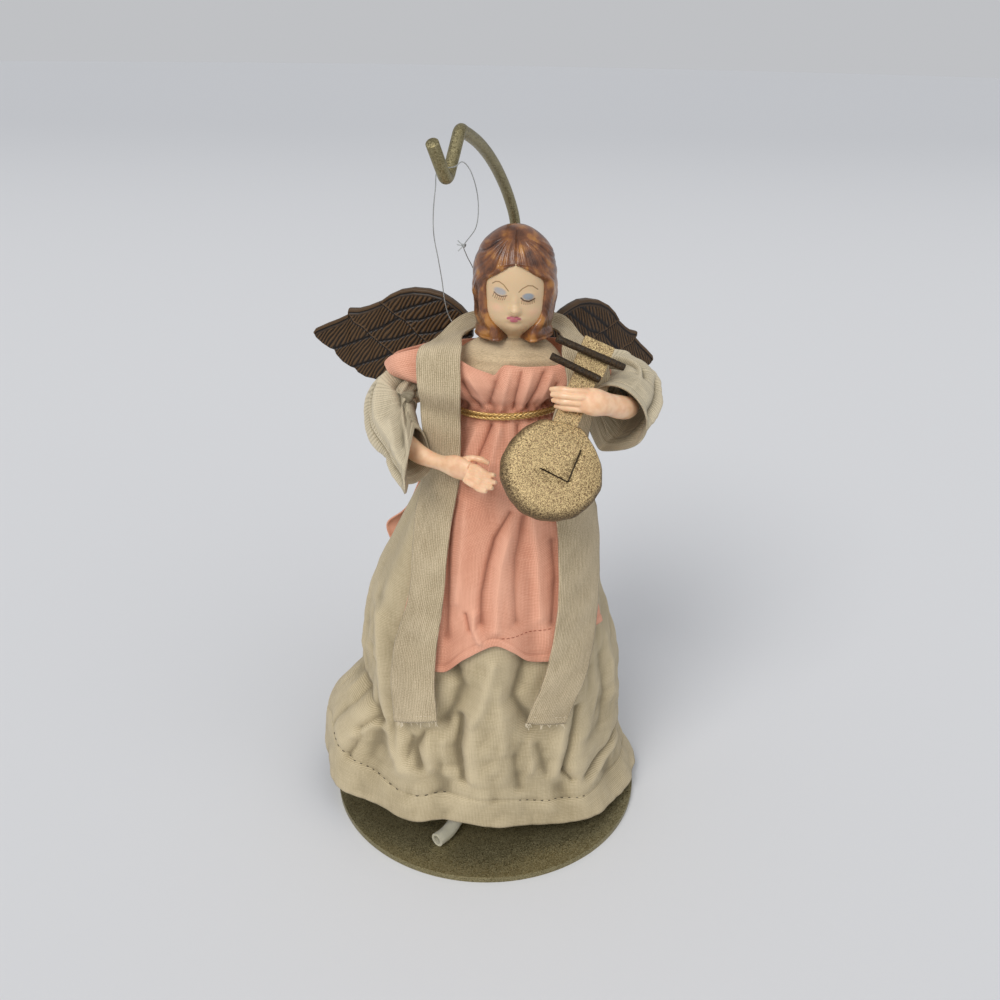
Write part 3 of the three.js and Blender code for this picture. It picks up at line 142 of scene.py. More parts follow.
def waves(u, v, scale, seed):
    """Gentle unevenness between -1 and 1, the same at each run."""
    rng = np.random.default_rng(seed)
    total = 0
    for _ in range(7):
        angle = rng.uniform(0, 2 * pi)
        pitch = scale * rng.uniform(0.6, 1.7)
        phase = rng.uniform(0, 2 * pi)
        total = total + np.sin((u * cos(angle) + v * sin(angle)) * 2 * pi / pitch + phase)
    return total / 4.5


print("the figure is", figure_height / mm, "mm tall")

# %% [markdown]
# ## Tools for making pieces
#
# Modifiers finish a piece as a file or a press finishes a real one: a bevel breaks an edge, a
# solidify gives cloth its thickness. Each is applied at once, so the mesh that is seen is the
# mesh that is kept.

# %% Modifiers, smooth shading and numbers on points
def finish_object(obj, smooth=True):
    if smooth:
        obj.data.polygons.foreach_set("use_smooth", [True] * len(obj.data.polygons))
    obj.data.update()
    return obj


def pick(obj):
    """Operators act on what is selected, so one piece is selected alone."""
    bpy.ops.object.select_all(action="DESELECT")
    obj.select_set(True)
    bpy.context.view_layer.objects.active = obj


def apply(obj, kind, **settings):
    modifier = obj.modifiers.new(kind.title(), kind)
    for key, value in settings.items():
        setattr(modifier, key, value)
    pick(obj)
    bpy.ops.object.modifier_apply(modifier=modifier.name)
    return obj


def keep_edges(obj, degrees):
    """Smooth shading, but for edges that turn by more than an angle."""
    pick(obj)
    bpy.ops.object.shade_smooth_by_angle(angle=radians(degrees))


def points_of(obj):
    flat = np.empty(len(obj.data.vertices) * 3)
    obj.data.vertices.foreach_get("co", flat)
    return flat.reshape(-1, 3)


def attribute(obj, name, values):
    """One number or colour for each point of a piece, which its finish reads."""
    values = np.asarray(values, float)
    kind = "FLOAT" if values.ndim == 1 else "FLOAT_COLOR"
    store = obj.data.attributes.new(name, kind, "POINT")
    store.data.foreach_set("value" if values.ndim == 1 else "color", values.ravel())


print("modifiers are ready")

# %% [markdown]
# A garment is a sheet. Simulated or sculpted, its folds would lie where chance puts them.
# Here a flat grid is laid on a surface that two numbers u and v walk over, closed at its seam
# and thickened, so each fold lies as on the real dress. Its UV numbers are metres along the
# threads, and each point keeps how deep in a fold it lies.

# %% Sheets of cloth
def eased(points, n, closed=False):
    """A grid with its rows averaged over n on each side."""
    if closed:
        before, after = points[-n - 1:-1], points[1:n + 1]
    else:
        before, after = 2 * points[0] - points[n:0:-1], 2 * points[-1] - points[-2:-n - 2:-1]
    padded = np.concatenate([before, points, after])
    weights = np.hanning(2 * n + 3)[1:-1]
    return sum(w * padded[k:k + len(points)] for k, w in enumerate(weights / weights.sum()))


# Its tone becomes painted shade in the cloth's hollows and painted light on its ridges.
def fold_tone(points, closed, reach=7 * mm, depth=2.2 * mm):
    """0 in a hollow of the cloth, 0.5 where it is even and 1 on a ridge."""
    steps = (np.linalg.norm(np.diff(points, axis=k), axis=2).mean() for k in (0, 1))
    rows, columns = (max(2, min(int(reach / pitch), n // 3)) for pitch, n in zip(steps, points.shape))
    smooth = eased(eased(points, rows).swapaxes(0, 1), columns, closed).swapaxes(0, 1)
    normal = unit(np.cross(np.gradient(points, axis=1), np.gradient(points, axis=0)))
    facing = np.sign(((points - points.mean(axis=1, keepdims=True)) * normal).sum())
    out = facing * ((points - smooth) * normal).sum(axis=2)
    return np.clip(0.5 + (out - np.median(out)) / depth, 0, 1)


def sheet_piece(name, surface, columns, rows, closed=False, thickness=0.6 * mm, hold=0.0):
    """A grid laid on surface(u, v), closed round in u if asked, and thickened."""
    bpy.ops.mesh.primitive_grid_add(x_subdivisions=columns, y_subdivisions=rows, size=1)
    obj = bpy.context.object
    obj.name = obj.data.name = name
    flat = points_of(obj)
    i = np.rint((flat[:, 0] + 0.5) * columns).astype(int)
    j = np.rint((flat[:, 1] + 0.5) * rows).astype(int)
    u, v = np.meshgrid(np.arange(columns + 1) / columns, np.arange(rows + 1) / rows)
    points = surface(u, v)
    across = np.linalg.norm(np.diff(points, axis=1), axis=2)
    along = np.linalg.norm(np.diff(points, axis=0), axis=2)
    middle = columns // 2
    width = np.hstack([np.zeros((rows + 1, 1)), np.cumsum(across, axis=1)])
    width = width - width[:, middle:middle + 1]
    length = np.concatenate([[0], np.cumsum(along[:, middle])])
    obj.data.vertices.foreach_set("co", points[j, i].ravel())
    attribute(obj, "fold", fold_tone(points, closed)[j, i])
    corner = np.empty(len(obj.data.loops), int)
    obj.data.loops.foreach_get("vertex_index", corner)
    ci, cj = i[corner], j[corner]
    uv = np.stack([width[cj, ci], -length[cj]], axis=1)
    obj.data.uv_layers.active.data.foreach_set("uv", uv.ravel())
    if closed:
        bpy.ops.object.mode_set(mode="EDIT")
        bpy.ops.mesh.select_all(action="SELECT")
        bpy.ops.mesh.remove_doubles(threshold=1e-6)
        bpy.ops.mesh.normals_make_consistent(inside=False)
        bpy.ops.object.mode_set(mode="OBJECT")
    area = sum(p.area for p in obj.data.polygons)
    if thickness:
        apply(obj, "SOLIDIFY", thickness=thickness, offset=hold, use_even_offset=False)
    finish_object(obj)
    print(f"{name}: {area * 1e4:.1f} square centimetres, {len(obj.data.polygons)} faces")
    return obj, area, (float(np.ptp(width.mean(axis=0))), float(length[-1]))


print("sheets are ready")

# %% [markdown]
# Wires, cords, limbs and the lute change little along a line. A curve with a bevel can't
# swell, flatten or be braided, so all of them are rings laid along a line and walled in.

# %% Rings, tubes and whole meshes
def new_object(name, data):
    obj = bpy.data.objects.new(name, data)
    scene.collection.objects.link(obj)
    return obj


def mesh_piece(name, points, faces, smooth=True):
    mesh = bpy.data.meshes.new(name)
    mesh.from_pydata([tuple(p) for p in points], [], [tuple(int(n) for n in f) for f in faces])
    mesh.validate()
    obj = new_object(name, mesh)
    build = bmesh.new()
    build.from_mesh(mesh)
    bmesh.ops.recalc_face_normals(build, faces=build.faces)
    build.to_mesh(mesh)
    build.free()
    return finish_object(obj, smooth)


def frames_along(line, up=(0.0, 0.0, 1.0)):
    """Along, side and up vectors on a line, each turned as little as it can be."""
    along = unit(np.gradient(line, axis=0))
    side = np.array(up if abs(along[0] @ np.array(up)) < 0.9 else (1.0, 0.0, 0.0))
    sides = []
    for tangent in along:
        side = unit(side - tangent * (side @ tangent))
        sides.append(side)
    sides = np.array(sides)
    return along, sides, np.cross(along, sides)


def wall(count, sides, closed=False):
    """The faces between rings, closed round to the first ring if asked."""
    return [(k * sides + s, k * sides + (s + 1) % sides, (k + 1) % count * sides + (s + 1) % sides,
            (k + 1) % count * sides + s)
        for k in range(count if closed else count - 1) for s in range(sides)]


def ring_loft(rings, closed=False):
    """A body from rings, with a fan at each end unless it is closed round."""
    rings = np.asarray(rings, float)
    count, sides = rings.shape[:2]
    points, faces = rings.reshape(-1, 3), wall(count, sides, closed)
    if not closed:
        points = np.vstack([points, rings[0].mean(axis=0), rings[-1].mean(axis=0)])
        for s in range(sides):
            t = (s + 1) % sides
            faces.append((t, s, count * sides))
            faces.append(((count - 1) * sides + s, (count - 1) * sides + t, count * sides + 1))
    return points, faces


def tube(line, radius, sides=16, flat=1.0, closed=False, up=(0.0, 0.0, 1.0)):
    """Points and faces of a round body along a line; radius is a number or one for each point."""
    _, a, b = frames_along(line, up)
    turn = np.arange(sides) * 2 * pi / sides
    r, f = (np.broadcast_to(np.asarray(n, float), (len(line),))[:, None, None] for n in (radius, flat))
    rings = line[:, None] + r * (np.cos(turn)[:, None] * a[:, None]
        + f * np.sin(turn)[:, None] * b[:, None])
    return ring_loft(rings, closed)


def gather(parts):
    """Several (points, faces) pairs as one."""
    points, faces, start = [], [], 0
    for p, f in parts:
        points.append(np.asarray(p))
        faces += [tuple(n + start for n in face) for face in f]
        start += len(p)
    return np.vstack(points), faces


print("tubes and rings are ready")

# %% [markdown]
# ## Finishes
#
# Each finish is made of small procedural nodes, in real metres: threads, slubs, glitter
# grains. A picture of cloth would blur close up and repeat. A little class lets sums of nodes
# be written as sums.

# %% A class for material sums
class Shade:
    """A number, colour or vector on a surface, with + - * written as nodes."""

    def __init__(self, tree, socket):
        self.tree, self.socket = tree, socket

    def make(self, kind, settings=(), out=0, **inputs):
        node = self.tree.nodes.new(kind)
        for key, value in dict(settings).items():
            setattr(node, key, value)
        for key, value in inputs.items():
            slot = node.inputs[int(key[1:])] if key[0] == "i" and key[1:].isdigit() else node.inputs[key]
            if isinstance(value, Shade):
                self.tree.links.new(value.socket, slot)
            else:
                slot.default_value = value
        return Shade(self.tree, node.outputs[out])

    def math(self, operation, *others):
        values = {f"i{k}": v for k, v in enumerate((self,) + others)}
        return self.make("ShaderNodeMath", {"operation": operation}, **values)

    def __add__(self, other):
        return self.math("ADD", other)

    def __sub__(self, other):
        return self.math("SUBTRACT", other)

    def __mul__(self, other):
        return self.math("MULTIPLY", other)

    def __rsub__(self, other):
        return self.math("MULTIPLY_ADD", -1.0, other)

    __radd__ = __add__
    __rmul__ = __mul__

    def sin(self):
        return self.math("SINE")

    def size(self):
        return self.math("ABSOLUTE")

    def power(self, exponent):
        return self.math("POWER", exponent)

    def between(self, low, high):
        """0 at low and 1 at high, smooth between; low may be the larger."""
        return self.make("ShaderNodeMapRange", {"interpolation_type": "SMOOTHSTEP"},
            Value=self, **{"From Min": low, "From Max": high})

    def parts(self):
        node = self.tree.nodes.new("ShaderNodeSeparateXYZ")
        self.tree.links.new(self.socket, node.inputs[0])
        return [Shade(self.tree, out) for out in node.outputs]

    def vector(self, operation, other, out=0):
        return self.make("ShaderNodeVectorMath", {"operation": operation}, out, i0=self, i1=other)

    def toward(self, first, second):
        """A colour between two, self being the share of the second."""
        first, second = (c if isinstance(c, Shade) else linear(*c) for c in (first, second))
        return self.make("ShaderNodeMix", {"data_type": "RGBA"}, 2, i0=self, i6=first, i7=second)


def linear(r, g, b):
    """A colour as the eye reads it, 0 to 1, as the renderer counts it."""
    return tuple(c / 12.92 if c <= 0.04045 else ((c + 0.055) / 1.055) ** 2.4 for c in (r, g, b)) + (1.0,)


print("sums are ready")

# %% [markdown]
# A finish is one material with the helpers that most need: noise and cells of a given size,
# relief, and painted shade and light on cloth, paler where a fold stands up and greyer in the hollows.

# %% Finishes
class Finish:
    """A material: its shader, its coordinates, and helpers that make textures."""

    def __init__(self, name, roughness=0.8, metallic=0.0, **constants):
        self.material = bpy.data.materials.new(name)
        self.material.use_nodes = True
        self.tree = self.material.node_tree
        self.shader = self.tree.nodes["Principled BSDF"]
        self.shader.inputs["Roughness"].default_value = roughness
        self.shader.inputs["Metallic"].default_value = metallic
        for key, value in constants.items():
            self.shader.inputs[key.replace("_", " ")].default_value = value
        coordinates = self.tree.nodes.new("ShaderNodeTexCoord")
        self.place = Shade(self.tree, coordinates.outputs["Object"])
        self.threads = Shade(self.tree, coordinates.outputs["UV"])

    def scaled(self, where, x, y=None, z=None):
        return where.vector("MULTIPLY", (x, x if y is None else y, x if z is None else z))

    def noise(self, where, size, detail=3.0, rough=0.5, stretch=(1, 1, 1)):
        """Noise with features about size metres across."""
        scaled = self.scaled(where, *(s / size for s in stretch))
        return where.make("ShaderNodeTexNoise", {}, 0, Vector=scaled, Scale=1.0, Detail=detail,
            Roughness=rough)

    def cells(self, where, size, out="Color"):
        scaled = self.scaled(where, 1 / size)
        return where.make("ShaderNodeTexVoronoi", {}, out, Vector=scaled, Scale=1.0)

    def stored(self, name, out="Fac"):
        """What attribute() has put on the points."""
        return self.place.make("ShaderNodeAttribute", {"attribute_name": name}, out)

    def colour(self, value):
        self.give("Base Color", value if isinstance(value, Shade) else linear(*value))

    def give(self, name, value):
        socket = self.shader.inputs[name]
        if isinstance(value, Shade):
            self.tree.links.new(value.socket, socket)
        else:
            socket.default_value = value

    def shaded(self, tone, light, dark):
        """Painted shade and light: cloth is painted darker and greyer in its hollows, and paler on its
        ridges.
        """
        fold = self.stored("fold")
        base = (tone + (fold - 0.5) * 0.7).between(0.0, 1.0).toward(dark, light)
        # A further painted shade in the deepest hollows.
        return (fold.between(0.5, 0.0) * 0.5).toward(base, [0.62 * c for c in dark])

    def relief(self, height, distance, strength=1.0):
        """Bump: height from 0 to 1 stands for distance metres."""
        node = self.tree.nodes.new("ShaderNodeBump")
        node.inputs["Strength"].default_value = strength
        node.inputs["Distance"].default_value = distance
        self.tree.links.new(height.socket, node.inputs["Height"])
        self.tree.links.new(node.outputs[0], self.shader.inputs["Normal"])


def dress(obj, finish):
    obj.data.materials.clear()
    obj.data.materials.append(finish.material)
    return obj


def stands_for(obj, node, body):
    """Which CAD node a piece replaces, and the body that it rides on."""
    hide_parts(node)
    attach(obj, body)


print("material sums are ready")

# %% [markdown]
# Linen is a plain weave of uneven yarn. A checker pattern would look printed, so the two
# thread systems are drawn apart, each yarn with its own tone, and their crossings give the
# relief, with painted shade in the low places between them.

# %% Linen
def woven(name, light, dark, pitch=0.55 * mm, relief=0.12 * mm, slubs=0.5, relief_shade=0.35, roughness=0.92):
    cloth = Finish(name, roughness=roughness, Sheen_Weight=0.12, Sheen_Roughness=0.5)
    uv = cloth.threads
    wander = cloth.noise(uv, 9 * mm, 2.0)
    u, v, _ = uv.parts()
    u = u + (wander - 0.5) * (1.1 * pitch)
    v = v + (cloth.noise(uv, 7 * mm, 2.0) - 0.5) * (1.1 * pitch)
    a, b = (u * (pi / pitch)).sin(), (v * (pi / pitch)).sin()
    over = (a * b) * 0.5 + 0.5
    height = a.size() * over + b.size() * (1.0 - over)
    warp = cloth.noise(uv, pitch, 2.0, 0.6, stretch=(1.0, 0.05, 1))
    weft = cloth.noise(uv, pitch, 2.0, 0.6, stretch=(0.05, 1.0, 1))
    yarn = warp * over + weft * (1.0 - over)
    patch = cloth.noise(uv, 26 * mm, 3.0)
    # Painted shade between the threads: the low places of the weave are painted darker and its crossings
    # lighter.
    tone = (yarn - 0.5) * (2.2 * slubs) + (patch - 0.5) * 0.5 + (height - 0.6) * relief_shade + 0.5
    cloth.colour(cloth.shaded(tone.between(0.0, 1.0), light, dark))
    cloth.relief(height * 0.7 + yarn * 0.6, relief)
    return cloth


linen_beige = woven("beige linen", (0.815, 0.75, 0.615), (0.6, 0.535, 0.4), slubs=0.28, relief_shade=0.7)
linen_pink = woven("pink linen", (0.95, 0.715, 0.6), (0.78, 0.505, 0.39), slubs=0.3, relief_shade=0.7)
linen_sage = woven("sage linen", (0.835, 0.78, 0.665), (0.6, 0.55, 0.445), slubs=0.3, relief_shade=0.7)
print("linens:", [f.material.name for f in (linen_beige, linen_pink, linen_sage)])

# %% [markdown]
# The stole and the neck piece are knits with upright ribs: columns of little V stitches, with
# painted shade in the gaps between them. Height comes from one wave across the ribs, broken along them by
# a slanted one.

# %% Knitted strips
def knitted(name, light, dark, wale, course, relief):
    """Wales of little V stitches that run down the strip, with painted shade in the gaps between them."""
    knit = Finish(name, roughness=0.95, Sheen_Weight=0.15, Sheen_Roughness=0.5)
    uv = knit.threads
    u, v, _ = uv.parts()
    u = u + (knit.noise(uv, 8 * mm, 2.0) - 0.5) * (0.9 * wale)
    v = v + (knit.noise(uv, 6 * mm, 2.0) - 0.5) * (0.9 * course)
    rise = (u * (pi / wale)).sin().size()
    stitch = (((v + rise * (0.6 * course)) * (2 * pi / course)).sin() * 0.5 + 0.5)
    height = rise.power(0.7) * 0.65 + rise * stitch * 0.35
    fuzz = knit.noise(uv, 0.45 * mm, 3.0, 0.7)
    yarn = knit.noise(uv, wale, 2.0, 0.6, stretch=(1.0, 0.12, 1))
    patch = knit.noise(uv, 18 * mm, 3.0)
    # Painted shade: the tone follows the height, so the gaps between the ribs are painted darker.
    tone = height * 0.45 + (fuzz - 0.5) * 1.1 + (yarn - 0.5) * 0.4 + (patch - 0.5) * 0.4 + 0.25
    knit.colour(knit.shaded(tone.between(0.0, 1.0), light, dark))
    knit.relief(height + fuzz * 0.4, relief)
    return knit


weave_stole = knitted("stole weave", (0.84, 0.77, 0.64), (0.58, 0.51, 0.385), 0.72 * mm, 0.6 * mm,
    relief=0.14 * mm)
knit_neck = knitted("fine knit", (0.99, 0.89, 0.73), (0.75, 0.64, 0.47), 0.55 * mm, 0.5 * mm,
    relief=0.14 * mm)
print("knits:", [f.material.name for f in (weave_stole, knit_neck)])

# %% [markdown]
# The stand's olive gold paint has metal flakes that lie at their own angles, so it sparkles
# in grains. The lute's glitter is the same thing with brighter flakes and side walls painted
# darker as painted shade, so one function makes both.

# %% Paint and glitter with flakes
def flaked(name, light, dark, grain, metallic, roughness, tilt, worn=None):
    paint = Finish(name, roughness=roughness, metallic=metallic)
    cell = paint.cells(paint.place, grain)
    level = cell.parts()[0]
    broad = paint.noise(paint.place, 12 * mm, 3.0)
    tone = (level * 0.75 + broad * 0.2 + 0.03).between(0.1, 1.0)
    colour = tone.toward(dark, light)
    # Painted shade: where the rim attribute marks the lute's side walls, the glitter is painted darker,
    # toward the colour given as worn.
    if worn:
        rim = paint.stored("rim")
        shaded_sides = tone.toward([0.35 * c for c in dark], worn)
        colour = (rim * 0.8).toward(colour, shaded_sides)
    paint.colour(colour)
    paint.give("Roughness", (level * 0.35 + (roughness - 0.12)))
    normal = paint.place.make("ShaderNodeNewGeometry", {}, "Normal")
    turned = cell.vector("SUBTRACT", (0.5, 0.5, 0.5)).vector("MULTIPLY", (tilt, tilt, tilt))
    paint.give("Normal", normal.vector("ADD", turned).vector("NORMALIZE", (0, 0, 0)))
    return paint


stand_paint = flaked("stand paint", (0.66, 0.62, 0.475), (0.44, 0.4, 0.27), 0.28 * mm, 0.75, 0.38,
    tilt=0.3)
# The colour given as worn is the painted shade on the lute's side walls.
glitter_gold = flaked("gold glitter", (0.99, 0.88, 0.65), (0.4, 0.29, 0.15), 0.24 * mm, 0.35, 0.45,
    tilt=0.7, worn=(0.45, 0.33, 0.19))
glitter_dark = flaked("dark glitter", (0.33, 0.255, 0.155), (0.085, 0.06, 0.036), 0.24 * mm, 0.4, 0.5,
    tilt=0.8)
print("flaked paints are ready")

# %% [markdown]
# Plastic, card, foam and wire are nearly one colour. Perfectly even they would look drawn, so
# each gets a soft mottle and a fine grain. The wings get a painted highlight of paler bronze on their
# ridges and painted shade in their grooves.

# %% Plastics, card, wood and wire
def moulded(name, light, dark, roughness, size=6 * mm, grain=0.02 * mm, **constants):
    plastic = Finish(name, roughness=roughness, **constants)
    tone = plastic.noise(plastic.place, size, 4.0).between(0.3, 0.7)
    plastic.colour(tone.toward(dark, light))
    plastic.relief(plastic.noise(plastic.place, 0.5 * mm, 3.0), grain)
    return plastic


wing_plastic = Finish("wing plastic", roughness=0.42, Specular_IOR_Level=0.35)
# Painted light and shade: paler bronze on the ridges, darker in the grooves and under each tier's edge,
# with a random mottle.
ridge = wing_plastic.stored("ridge")
mottle = wing_plastic.noise(wing_plastic.place, 5 * mm, 3.0) - 0.5
ridge_light_and_mottle = (ridge * 1.1 + mottle * 0.4 - 0.02).between(0.0, 1.0)
wing_plastic.colour(ridge_light_and_mottle.toward((0.085, 0.052, 0.03), (0.365, 0.27, 0.165)))
wing_plastic.relief(wing_plastic.noise(wing_plastic.place, 0.5 * mm, 3.0), 0.02 * mm)
hand_resin = moulded("painted hands", (0.985, 0.82, 0.665), (0.94, 0.74, 0.575), 0.32, 3 * mm, 0.01 * mm,
    Subsurface_Weight=0.15, Subsurface_Scale=0.004, Coat_Weight=0.3, Coat_Roughness=0.15)
card_paper = moulded("card", (0.8, 0.77, 0.7), (0.74, 0.7, 0.62), 0.9)
foam_core = moulded("foam core", (0.9, 0.88, 0.84), (0.85, 0.83, 0.78), 0.9, 2 * mm, 0.2 * mm)
dowel_wood = moulded("dowel wood", (0.8, 0.67, 0.47), (0.7, 0.56, 0.37), 0.7, 1.5 * mm)
steel_wire = moulded("steel wire", (0.62, 0.62, 0.61), (0.5, 0.5, 0.49), 0.35, 1 * mm, Metallic=0.9)
clear_plastic = moulded("clear tube", (0.9, 0.88, 0.8), (0.82, 0.8, 0.71), 0.25, Transmission_Weight=0.3,
    IOR=1.3)
clear_line = moulded("fishing line", (0.8, 0.81, 0.8), (0.7, 0.71, 0.7), 0.2, Transmission_Weight=0.35,
    IOR=1.5)
print("rigid finishes are ready")

# %% [markdown]
# ## The stand, the hook and the fishing line
#
# The stand is a disc punched from sheet, with its edge rolled round, and a steel rod riveted
# through it. The disc is a cylinder that is drilled and then beveled.

# %% The stand's plate
plate_radius = 63.5 * mm
rod_radius = 2.05 * mm
gap = 0.3 * mm
rod_foot = unit(np.array([9.4, 54.8])) * (plate_radius - 8 * mm)

bpy.ops.mesh.primitive_cylinder_add(vertices=192, radius=plate_radius, depth=plate_thickness)
plate = bpy.context.object
plate.name = "stand_plate_piece"
plate.data.transform(Matrix.Translation((0, 0, plate_thickness / 2)))
bpy.ops.mesh.primitive_cone_add(vertices=64, radius1=rod_radius + gap, radius2=rod_radius + gap,
    depth=4 * plate_thickness)
drill = bpy.context.object
drill.data.transform(Matrix.Translation((rod_foot[0], rod_foot[1], 0)))
apply(plate, "BOOLEAN", object=drill, operation="DIFFERENCE", solver="EXACT")
bpy.data.objects.remove(drill)
apply(plate, "BEVEL", width=1.1 * mm, segments=8, limit_method="ANGLE", angle_limit=radians(60))
keep_edges(plate, 30)
dress(plate, stand_paint)
stands_for(plate, "stand_plate", "stand")
print("plate:", len(plate.data.polygons), "faces")

# %% [markdown]
# The rod was bent cold round pegs: a long even arch, then two tight bends that make the hook.
# Its foot and its tip change in thickness, so it is a tube along points.

# %% The bent rod
arch_height = figure_height + 30 * mm
hook_place = np.array([-0.0605, -0.1085]) * figure_height
bend_shares = [(0, 0.62), (0, 0.72), (0.008, 0.775), (0.027, 0.822), (0.062, 0.858), (0.16, 0.893),
    (0.3, 0.928), (0.45, 0.957), (0.6, 0.979), (0.72, 0.992), (0.8, 0.999)]


def rod_place(reach, height):
    flat = rod_foot + (hook_place - rod_foot) * reach
    return np.array([flat[0], flat[1], plate_thickness + height])


def rounded(corner, before, after, radius, steps):
    a, b = unit(before - corner), unit(after - corner)
    half = math.acos(float(a @ b)) / 2
    middle = corner + unit(a + b) * radius / sin(half)
    start = corner + a * radius / math.tan(half) - middle
    end = corner + b * radius / math.tan(half) - middle
    turn = math.acos(float(unit(start) @ unit(end)))
    return [middle + (start * sin(turn * (1 - t)) + end * sin(turn * t)) / sin(turn)
        for t in np.arange(steps + 1) / steps]


bend = curve([rod_place(r, h * arch_height) for r, h in bend_shares], np.linspace(0, 1, 81))
arch = rod_place(0.845, arch_height + rod_radius / 2)
vee = rod_place(1, arch_height - 13.8 * mm)
tip = rod_place(1.15, arch_height - 0.9 * mm)
foot = np.array([rod_foot[0], rod_foot[1], 0.1 * plate_thickness])
rod_line = np.vstack([foot, foot + (0, 0, 1.0 * mm), foot + (0, 0, 1.3 * mm), foot + (0, 0, 0.1), bend,
        rounded(arch, bend[-1], vee, 3.3 * mm, 14), rounded(vee, arch, tip, 3.3 * mm, 18),
        tip + unit(vee - tip) * 0.3 * mm, tip])
rod_sizes = np.full(len(rod_line), rod_radius)
rod_sizes[:3] = (2.3 * mm, 2.25 * mm, rod_radius)
rod_sizes[-1] = rod_radius - 0.35 * mm
rod_piece = dress(mesh_piece("stand_rod_piece", *tube(rod_line, rod_sizes, 40)), stand_paint)
keep_edges(rod_piece, 50)
stands_for(rod_piece, "stand_rod", "stand")
print("rod: top of the arch at", round(float(rod_line[:, 2].max()) / mm, 1), "mm")

# %% [markdown]
# The line is clear nylon, a third of a millimetre thick. It comes up behind the neck, goes
# over the hook and back down behind the hair. It has one thickness, so a curve with a round
# bevel is enough.

# %% The hanging line
line_route = [
    (-14.2, 13.6, 196.5), (-15.9, 13, 200), (-17.1, 10.5, 206), (-17.7, 6, 214), (-18.5, -1, 223),
    (-19.4, -9, 233), (-18.9, -16, 242), (-17.8, -21.5, 249.5), (-16.9, -24.3, 255),
    (-14.1, -25.2, 256), (-11.7, -25.8, 256.4), (-9.4, -20.5, 257.3), (-6.9, -14.5, 253.6),
    (-4.8, -6, 243.2), (-5.6, -2, 234.2), (-9.8, 2, 227.2), (-9.3, 5, 224), (-7.6, 9.5, 219.4),
    (-4.4, 13.8, 212.5), (0.4, 14.4, 207)
]
line_points = curve(np.array(line_route) * mm, np.linspace(0, 1, 191))
path = bpy.data.curves.new("hang_line_piece", "CURVE")
path.dimensions = "3D"
path.bevel_depth = 0.175 * mm
path.bevel_resolution = 3
path.use_fill_caps = True
spline = path.splines.new("POLY")
spline.points.add(len(line_points) - 1)
spline.points.foreach_set("co", np.hstack([line_points, np.ones((len(line_points), 1))]).ravel())
hang_line = new_object("hang_line_piece", path)
dress(hang_line, clear_line)

# %% [markdown]
# The line is tied with a small knot that keeps its cut ends. A real knot is too small to
# follow strand by strand, so it is a closed tangle of one tube.

# %% Its knot
knot_place = np.array(line_route[15]) * mm
turns = np.linspace(0, 1, 90)
trefoil = np.stack([np.sin(4 * pi * turns) + 2 * np.sin(8 * pi * turns + 0.4) * 0.45,
        np.cos(4 * pi * turns) - 0.8 * np.cos(8 * pi * turns),
        1.1 * np.sin(12 * pi * turns)], axis=1) * 0.36 * mm
ends = []
for way, bow in (((-1, 0.15, 0.55), 0.5), ((-0.8, -0.3, -0.5), -0.5), ((-0.9, 0.1, 0.05), 0.2)):
    away = unit(np.array(way, float))
    run = np.linspace(0, 1, 12)[:, None]
    ends.append(knot_place + away * run * 2.5 * mm + np.array([0, 0, bow]) * mm * run**2)
tied = [tube(knot_place + trefoil, 0.24 * mm, 8)] + [tube(end, 0.17 * mm, 8) for end in ends]
knot = mesh_piece("line_knot_piece", *gather(tied))
dress(knot, clear_line)
for piece, node in ((hang_line, "hang_line"), (knot, "line_knot")):
    stands_for(piece, node, "figure")
print("knot at", [round(float(c) / mm, 1) for c in knot_place])

# %% [markdown]
# ## The dress
#
# Every garment is laid on a body that narrows at the waist, so its outline comes first: one
# table for each side, and the height of the hem all round. A lathe would make it even, and
# this hem bulges to one side.

# %% The skirt's outline
waist_height = height_at(0.728)
waist_centre = np.array([0.0236, 0.0])
hem_centre = np.array([-0.0129, 0.0086])
hem_angles = [-180, -150, -120, -90, -78, -54, -37, -23, -9, 8, 22, 38, 54, 71, 90, 120, 150, 180]
hem_heights = [0.026, 0.03, 0.043, 0.056, 0.064, 0.047, 0.05, 0.043, 0.058, 0.051, 0.036, 0.027, 0.022,
    0.014, 0.012, 0.016, 0.024, 0.026]
spread_levels = [0, 0.14, 0.25, 0.36, 0.46, 0.55, 0.66, 0.75, 0.8, 0.86, 0.92, 1]
spreads = {
    "left": [0, 0.16, 0.315, 0.46, 0.59, 0.65, 0.685, 0.7, 0.84, 0.95, 0.985, 1],
    "right": [0, 0.2, 0.345, 0.44, 0.51, 0.62, 0.735, 0.77, 0.79, 0.815, 0.85, 1],
    "front": [0, 0.2, 0.37, 0.54, 0.66, 0.745, 0.84, 0.885, 0.91, 0.945, 0.97, 1],
    "back": [0, 0.25, 0.46, 0.63, 0.75, 0.83, 0.895, 0.93, 0.945, 0.96, 0.98, 1],
}
# Angle from the front, width there, level, run of the level, share of 5 mm
creases = [(-13, 5, 0.88, 0.1, 0.55), (-44, 9, 0.84, 0.09, 0.85), (34, 6, 0.9, 0.07, 0.6),
    (52, 8, 0.7, 0.2, 0.4), (-66, 7, 0.62, 0.18, 0.45), (66, 10, 0.94, 0.05, 0.6),
    (171, 12, 0.8, 0.35, 0.9)]


def turned(angle):
    return (angle + 540) % 360 - 180


def hem_height(angle):
    return height_at(through(hem_angles, hem_heights, turned(angle)))


